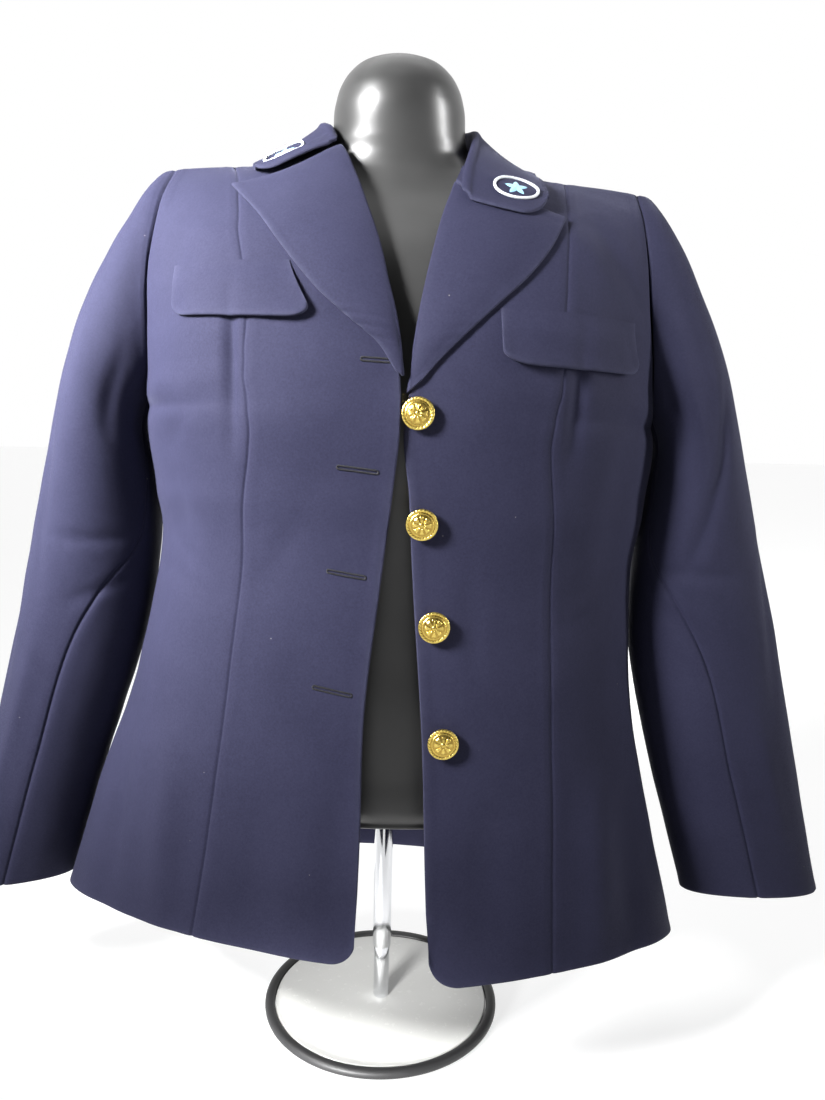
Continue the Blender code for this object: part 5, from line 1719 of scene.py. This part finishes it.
@dataclass(frozen=True)
class Worsted:
    """Dark navy wool worsted: fine twill, slight fading, lint, and lighter turned edges, partly worn and partly
    painted sheen.

    The scales are cells in a metre, the pitch and the depths are in metres and the slant is in degrees. wave_period
    is the length of the wave texture's band at a scale of 1.
    """

    name: str = "navy_worsted"
    deep: Colour = (0.0115, 0.0117, 0.0280, 1)
    faded: Colour = (0.0210, 0.0213, 0.0450, 1)
    edge_wear_and_sheen: Colour = (0.042, 0.043, 0.075, 1)
    lint: Colour = (0.20, 0.19, 0.18, 1)
    sheen: Colour = (0.66, 0.68, 0.95, 1)
    roughness: float = 0.78
    wave_period: float = 0.314
    twill_pitch: float = 0.0007
    twill_slant: float = 58.0
    twill_depth: float = 0.00022
    yarn_scale: float = 900.0
    fuzz_scale: float = 1500.0
    cloud_scale: float = 9.0
    mottle_scale: float = 140.0
    grain_scale: float = 620.0
    lint_scale: float = 95.0
    lint_radius: float = 0.045
    lint_rarity: float = 0.96
    crease_scale: float = 45.0
    crease_depth: float = 0.0022

    def build(self) -> bpy.types.Material:
        """Twill as slanted bands over two crossed yarns in flat-cloth metres; colour from three noises.

        Returns:
            The material.
        """
        n = Nodes(self.name)
        uv = n.add("ShaderNodeUVMap", uv_map="flat_cloth").outputs[0]
        slant = (0, 0, math.radians(self.twill_slant))
        turned = n.add("ShaderNodeMapping", {"Vector": uv, "Rotation": slant}).outputs[0]
        bands = {"Vector": turned, "Scale": self.wave_period / self.twill_pitch, "Distortion": 1.2, "Detail": 2.0,
                 "Detail Scale": 1.5}
        twill = n.add("ShaderNodeTexWave", bands, wave_profile="SIN").outputs["Fac"]
        yarn = n.noise(self.yarn_scale, stretch=(1.0, 4.0, 1.0), vector=uv)
        fuzz = n.noise(self.fuzz_scale, 3.0, 0.7)
        weave = n.scaled(fuzz, 0.5, n.scaled(yarn, 0.7, n.math("MULTIPLY", twill, 0.6)))
        cloud = n.math("SUBTRACT", n.noise(self.cloud_scale, 4.0, 0.6), 0.36)
        mottle = n.noise(self.mottle_scale, 3.0, 0.65)
        grain = n.math("SUBTRACT", n.noise(self.grain_scale, 2.0, 0.7), 0.5)
        fade = n.scaled(n.math("MULTIPLY", cloud, 2.2, clamp=True), 0.6, n.math("MULTIPLY", mottle, 0.35))
        colour = n.mix(n.scaled(grain, 1.5, fade, clamp=True), self.deep, self.faded)
        colour = n.mix(n.math("MULTIPLY", twill, 0.22), colour, self.faded)
        wear = n.add("ShaderNodeAttribute", attribute_name="wear").outputs["Fac"]
        # Lighter turned edges: partly wear of the wool, partly a painted sheen on the pressed edges.
        colour = n.mix(n.math("MULTIPLY", wear, n.math("MULTIPLY", mottle, 0.9)), colour, self.edge_wear_and_sheen)
        speck = n.add("ShaderNodeTexVoronoi", {"Vector": n.place, "Scale": self.lint_scale}, feature="F1")
        chance = n.add("ShaderNodeSeparateColor", {"Color": speck.outputs["Color"]}).outputs[0]
        small = n.math("LESS_THAN", speck.outputs["Distance"], self.lint_radius)
        fluff = n.math("MULTIPLY", small, n.math("GREATER_THAN", chance, self.lint_rarity))
        colour = n.mix(n.math("MULTIPLY", fluff, 0.6), colour, self.lint)
        normal = n.bump(weave, 0.5, self.twill_depth)
        normal = n.bump(n.noise(self.crease_scale, 4.0, 0.6), 0.22, self.crease_depth, normal)
        return n.finish(Base_Color=colour, Normal=normal, Roughness=self.roughness, Sheen_Weight=0.07,
                        Sheen_Roughness=0.35, Sheen_Tint=self.sheen, Specular_IOR_Level=0.12)


@dataclass(frozen=True)
class Thread:
    """Embroidery or buttonhole thread: one colour with a silky sheen and fine ply."""

    name: str
    colour: Colour
    shade: Colour
    roughness: float = 0.55
    sheen: float = 0.3
    ply_scale: float = 2600.0
    ply_depth: float = 0.0002

    def build(self) -> bpy.types.Material:
        """Fine noise mixes in the darker colour as painted shade between the plies.

        Returns:
            The material.
        """
        n = Nodes(self.name)
        ply = n.noise(self.ply_scale)
        # Painted shade: the darker colour stands for the shade between the plies.
        colour = n.mix(n.math("MULTIPLY", ply, 0.9, clamp=True), self.shade, self.colour)
        return n.finish(Base_Color=colour, Normal=n.bump(ply, 0.4, self.ply_depth), Roughness=self.roughness,
                        Sheen_Weight=self.sheen, Sheen_Roughness=0.4)


@dataclass(frozen=True)
class GiltBrass:
    """Polished gilt brass, browner in the recesses of its relief, with hair scratches."""

    name: str = "gilt_brass"
    recess: Colour = (0.42, 0.26, 0.05, 1)
    polished: Colour = (0.86, 0.66, 0.17, 1)
    grime_scale: float = 420.0
    gloss_scale: float = 900.0
    scratch_scale: float = 1800.0
    scratch_depth: float = 0.0002

    def build(self) -> bpy.types.Material:
        """Colour by the relief's own attribute, roughness by noise.

        Returns:
            The material.
        """
        n = Nodes(self.name)
        relief = n.add("ShaderNodeAttribute", attribute_name="wear").outputs["Fac"]
        grime = n.math("MULTIPLY", n.noise(self.grime_scale, 3.0), 0.5)
        colour = n.mix(n.scaled(relief, 0.75, grime, clamp=True), self.recess, self.polished)
        normal = n.bump(n.noise(self.scratch_scale, 3.0, 0.7), 0.12, self.scratch_depth)
        return n.finish(Base_Color=colour, Metallic=1.0, Normal=normal,
                        Roughness=n.scaled(n.noise(self.gloss_scale), 0.16, 0.20))


@dataclass(frozen=True)
class GlossShell:
    """Glossy charcoal plastic of the dress form, with faint handling marks."""

    name: str = "charcoal_gloss"
    dark: Colour = (0.016, 0.016, 0.016, 1)
    light: Colour = (0.030, 0.030, 0.030, 1)

    def build(self) -> bpy.types.Material:
        """Two noises vary the roughness; a low one moves the surface a little, as on a moulded shell.

        Returns:
            The material.
        """
        n = Nodes(self.name)
        marks = n.noise(60.0, 5.0, 0.7, stretch=(1.0, 1.0, 0.35))
        colour = n.mix(n.noise(30.0, 3.0), self.dark, self.light)
        normal = n.bump(n.noise(700.0), 0.04, 0.0003, n.bump(n.noise(14.0), 0.10, 0.004))
        return n.finish(Base_Color=colour, Roughness=n.scaled(marks, 0.20, 0.27), Normal=normal, Coat_Weight=0.2,
                        Coat_Roughness=0.3)


@dataclass(frozen=True)
class Chrome:
    """Polished chrome tube with fine draw lines along it."""

    name: str = "chrome_tube"
    colour: Colour = (0.78, 0.79, 0.81, 1)

    def build(self) -> bpy.types.Material:
        """Noise stretched along Z gives the lines.

        Returns:
            The material.
        """
        n = Nodes(self.name)
        lines = n.noise(900.0, stretch=(1.0, 1.0, 0.02))
        return n.finish(Base_Color=self.colour, Metallic=1.0, Roughness=n.scaled(lines, 0.10, 0.07),
                        Normal=n.bump(lines, 0.05, 0.0002))


@dataclass(frozen=True)
class PlateEnamel:
    """Pale grey gloss of the base plate, with light scuffs."""

    name: str = "plate_grey_gloss"
    grey: Colour = (0.80, 0.80, 0.77, 1)
    pale: Colour = (0.86, 0.86, 0.83, 1)

    def build(self) -> bpy.types.Material:
        """Noise for scuffs in the gloss and a slight cloud in the colour.

        Returns:
            The material.
        """
        n = Nodes(self.name)
        scuffs = n.noise(130.0, 5.0, 0.75)
        return n.finish(Base_Color=n.mix(n.noise(18.0, 3.0), self.grey, self.pale), Metallic=0.0,
                        Roughness=n.scaled(scuffs, 0.22, 0.14), Coat_Weight=0.4, Coat_Roughness=0.12,
                        Normal=n.bump(n.noise(500.0), 0.03, 0.0003))


@dataclass(frozen=True)
class Rubber:
    """Matt black rubber of the ring, dusty in patches."""

    name: str = "ring_rubber"
    black: Colour = (0.008, 0.008, 0.008, 1)
    dusty: Colour = (0.04, 0.04, 0.042, 1)

    def build(self) -> bpy.types.Material:
        """Noise for dust and a fine moulded grain.

        Returns:
            The material.
        """
        n = Nodes(self.name)
        dust = n.math("MULTIPLY", n.noise(45.0, 4.0, 0.65), 0.6)
        return n.finish(Base_Color=n.mix(dust, self.black, self.dusty), Roughness=0.5,
                        Normal=n.bump(n.noise(1600.0), 0.15, 0.0002))


@dataclass(frozen=True)
class PaleFloor:
    """The pale studio table."""

    name: str = "pale_floor"
    low: Colour = (0.38, 0.38, 0.38, 1)
    high: Colour = (0.40, 0.40, 0.40, 1)
    glow: float = 0.72

    def build(self) -> bpy.types.Material:
        """A near-white that glows as an overexposed table does, so the shadows on it stay faint.

        Returns:
            The material.
        """
        n = Nodes(self.name)
        return n.finish(Base_Color=n.mix(n.noise(3.0), self.low, self.high), Roughness=0.6, Specular_IOR_Level=0.1,
                        Emission_Color=(1, 1, 1, 1), Emission_Strength=self.glow)


@dataclass(frozen=True)
class Lamp:
    """One rectangular area light aimed at a point, its beam narrowed to the spread in degrees."""

    name: str
    place: Place
    aim: Place
    size: tuple[float, float]
    watts: float
    spread: float = 180.0

    def build(self) -> None:
        """Makes the light and turns it to its aim."""
        data = bpy.data.lights.new(self.name, "AREA")
        data.shape, data.size, data.size_y = "RECTANGLE", *self.size
        data.energy, data.spread = self.watts, math.radians(self.spread)
        lamp = bpy.data.objects.new(self.name, data)
        bpy.context.scene.collection.objects.link(lamp)
        lamp.location = self.place
        lamp.rotation_euler = (Vector(self.aim) - Vector(self.place)).to_track_quat("-Z", "Y").to_euler()


@dataclass
class Studio:
    """The camera at the photograph's angle, light from the viewer's left front and from above, and a pale floor.

    The angles are degrees. surround is the span of the world's Y direction and the brightness at its two ends.
    """

    lens: float = 31.0
    sensor: float = 36.0
    nearest: float = 0.01
    place: Place = (0.020, -0.80, 0.555)
    pitch: float = 9.3
    roll: float = 1.3
    surround: tuple[float, float, float, float] = (-0.10, 0.45, 0.06, 1.0)
    floor_reach: float = 8.0
    lamps: tuple[Lamp, ...] = (
        Lamp("window_left", (-0.85, -0.62, 1.05), (-0.36, -0.05, 0.68), (0.35, 0.35), 15.5, 56.0),
        Lamp("window_right", (1.10, -0.30, 0.95), (0.0, 0.0, 0.78), (0.10, 0.9), 2.6, 60.0),
        Lamp("window_low", (-0.30, -0.60, 0.10), (0.0, 0.0, 0.0), (0.15, 0.05), 0.5, 30.0),
        Lamp("ceiling", (-0.1, 0.2, 2.2), (0.0, 0.1, 0.0), (1.6, 1.6), 9.0),
    )

    def camera(self) -> None:
        """Sets the scene's camera."""
        data = bpy.data.cameras.new("photo_camera")
        data.lens, data.sensor_width, data.clip_start = self.lens, self.sensor, self.nearest
        eye = bpy.data.objects.new("photo_camera", data)
        bpy.context.scene.collection.objects.link(eye)
        upright = Matrix.Rotation(math.pi / 2 - math.radians(self.pitch), 4, "X")
        eye.matrix_world = Matrix.Translation(self.place) @ upright @ Matrix.Rotation(math.radians(self.roll), 4, "Z")
        bpy.context.scene.camera = eye

    def build(self, floor_finish: bpy.types.Material) -> None:
        """Makes the floor, the lights and the surroundings.

        Args:
            floor_finish: the floor's material.
        """
        world = bpy.data.worlds.new("studio")
        bpy.context.scene.world = world
        world.use_nodes = True
        tree = world.node_tree
        way = tree.nodes.new("ShaderNodeTexCoord")
        split = tree.nodes.new("ShaderNodeSeparateXYZ")
        fade = tree.nodes.new("ShaderNodeMapRange")
        for key, value in zip(("From Min", "From Max", "To Min", "To Max"), self.surround):
            fade.inputs[key].default_value = value
        sky = tree.nodes["Background"]
        tree.links.new(way.outputs["Generated"], split.inputs[0])
        tree.links.new(split.outputs["Y"], fade.inputs["Value"])
        tree.links.new(fade.outputs[0], sky.inputs["Strength"])
        sky.inputs["Color"].default_value = (1.0, 1.0, 1.0, 1)
        bpy.context.scene.view_settings.view_transform = "Standard"
        for lamp in self.lamps:
            lamp.build()
        corners = np.array([(-1, -1, 0), (1, -1, 0), (1, 1, 0), (-1, 1, 0)], float) * self.floor_reach
        floor = new_mesh("studio_floor", corners, np.array([[0, 1, 2, 3]]))
        floor.data.materials.append(floor_finish)


def dress(piece: bpy.types.Object, finish: bpy.types.Material, nodes: tuple[str, ...] = ()) -> None:
    """Gives a piece its finish and its body, and hides the nodes that it stands for.

    Args:
        piece: the piece.
        finish: its material.
        nodes: the solids that it replaces.
    """
    piece.data.materials.append(finish)
    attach(piece, "root")
    if nodes:
        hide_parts(*nodes)
    LOG.info("%s: %d faces", piece.name, len(piece.data.polygons))


@dataclass
class Jacket:
    """All the cloth, with its buttons, buttonholes and emblems."""

    bodies: dict[Side, BodyCloth] = field(default_factory=lambda: {side: BodyCloth(side) for side in Side})

    def hang(self, shell: ClothShell, cloth: bpy.types.Material, rests_on: list[str]) -> None:
        """Args:
            shell: the cut piece.
            cloth: its material.
            rests_on: the pieces that it rests on; not used.
        """
        piece = shell.build()
        node = shell.name.removesuffix("_cloth")
        dress(piece, cloth, (node,))
        width, length, area = shell.flat_size()
        LOG.info("%s: cut %.3f by %.3f m, %.4f square metres", node, width, length, area)

    def build(self) -> None:
        """Makes every piece of the jacket."""
        cloth = Worsted().build()
        gilt = GiltBrass().build()
        lapels = {side: Lapel(body) for side, body in self.bodies.items()}
        for side, body in self.bodies.items():
            for shell in body.fronts():
                self.hang(shell, cloth, ["dress_form"])
            self.hang(body.back(), cloth, ["dress_form"])
            for shell in Sleeve(body).shells():
                self.hang(shell, cloth, [f"front_side_{side.word}_cloth"])
            self.hang(lapels[side].shell(), cloth, [f"front_centre_{side.word}_cloth"])
            self.hang(Flap(body).shell(), cloth, [f"front_centre_{side.word}_cloth"])
        collar = Collar(self.bodies, lapels)
        self.hang(collar.shell(), cloth, ["back_right_cloth", "back_left_cloth"])
        white = Thread("emblem_white_thread", (0.66, 0.68, 0.68, 1), (0.34, 0.37, 0.41, 1)).build()
        blue = Thread("emblem_blue_thread", (0.27, 0.50, 0.66, 1), (0.12, 0.26, 0.40, 1)).build()
        dark = Thread("buttonhole_thread", (0.010, 0.010, 0.014, 1), (0.004, 0.004, 0.006, 1), 0.8, 0.0).build()
        for side in Side:
            ring, star = Emblem(collar).build(side)
            dress(ring, white)
            dress(star, blue)
        for hole in Buttonholes(self.bodies[Side.RIGHT]).build():
            dress(hole, dark)
        left = self.bodies[Side.LEFT]
        for number, (out, up) in enumerate(BUTTONS, start=1):
            point, normal = (values[0] for values in left.at(Face.FRONT, *left.locate([out], [up])))
            piece = Button().build(f"button_{number}_gilt", point + normal * (CLOTH / 2 + 0.35 * MM), normal)
            dress(piece, gilt, (f"button_{number}",))


def main() -> None:
    """Loads the frame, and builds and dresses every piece."""
    logging.basicConfig(level=logging.INFO, format="%(name)s: %(message)s")
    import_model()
    studio = Studio()
    studio.camera()
    Jacket().build()
    dress(DressForm().build(), GlossShell().build(), ("dress_form",))
    chrome, enamel, rubber = Chrome().build(), PlateEnamel().build(), Rubber().build()
    finishes = {"pole_upper": chrome, "pole_lower": chrome, "base_plate": enamel, "base_rim": rubber}
    for node, piece in Stand().build().items():
        dress(piece, finishes[node], (node,))
    studio.build(PaleFloor().build())


if __name__ == "__main__":
    main()
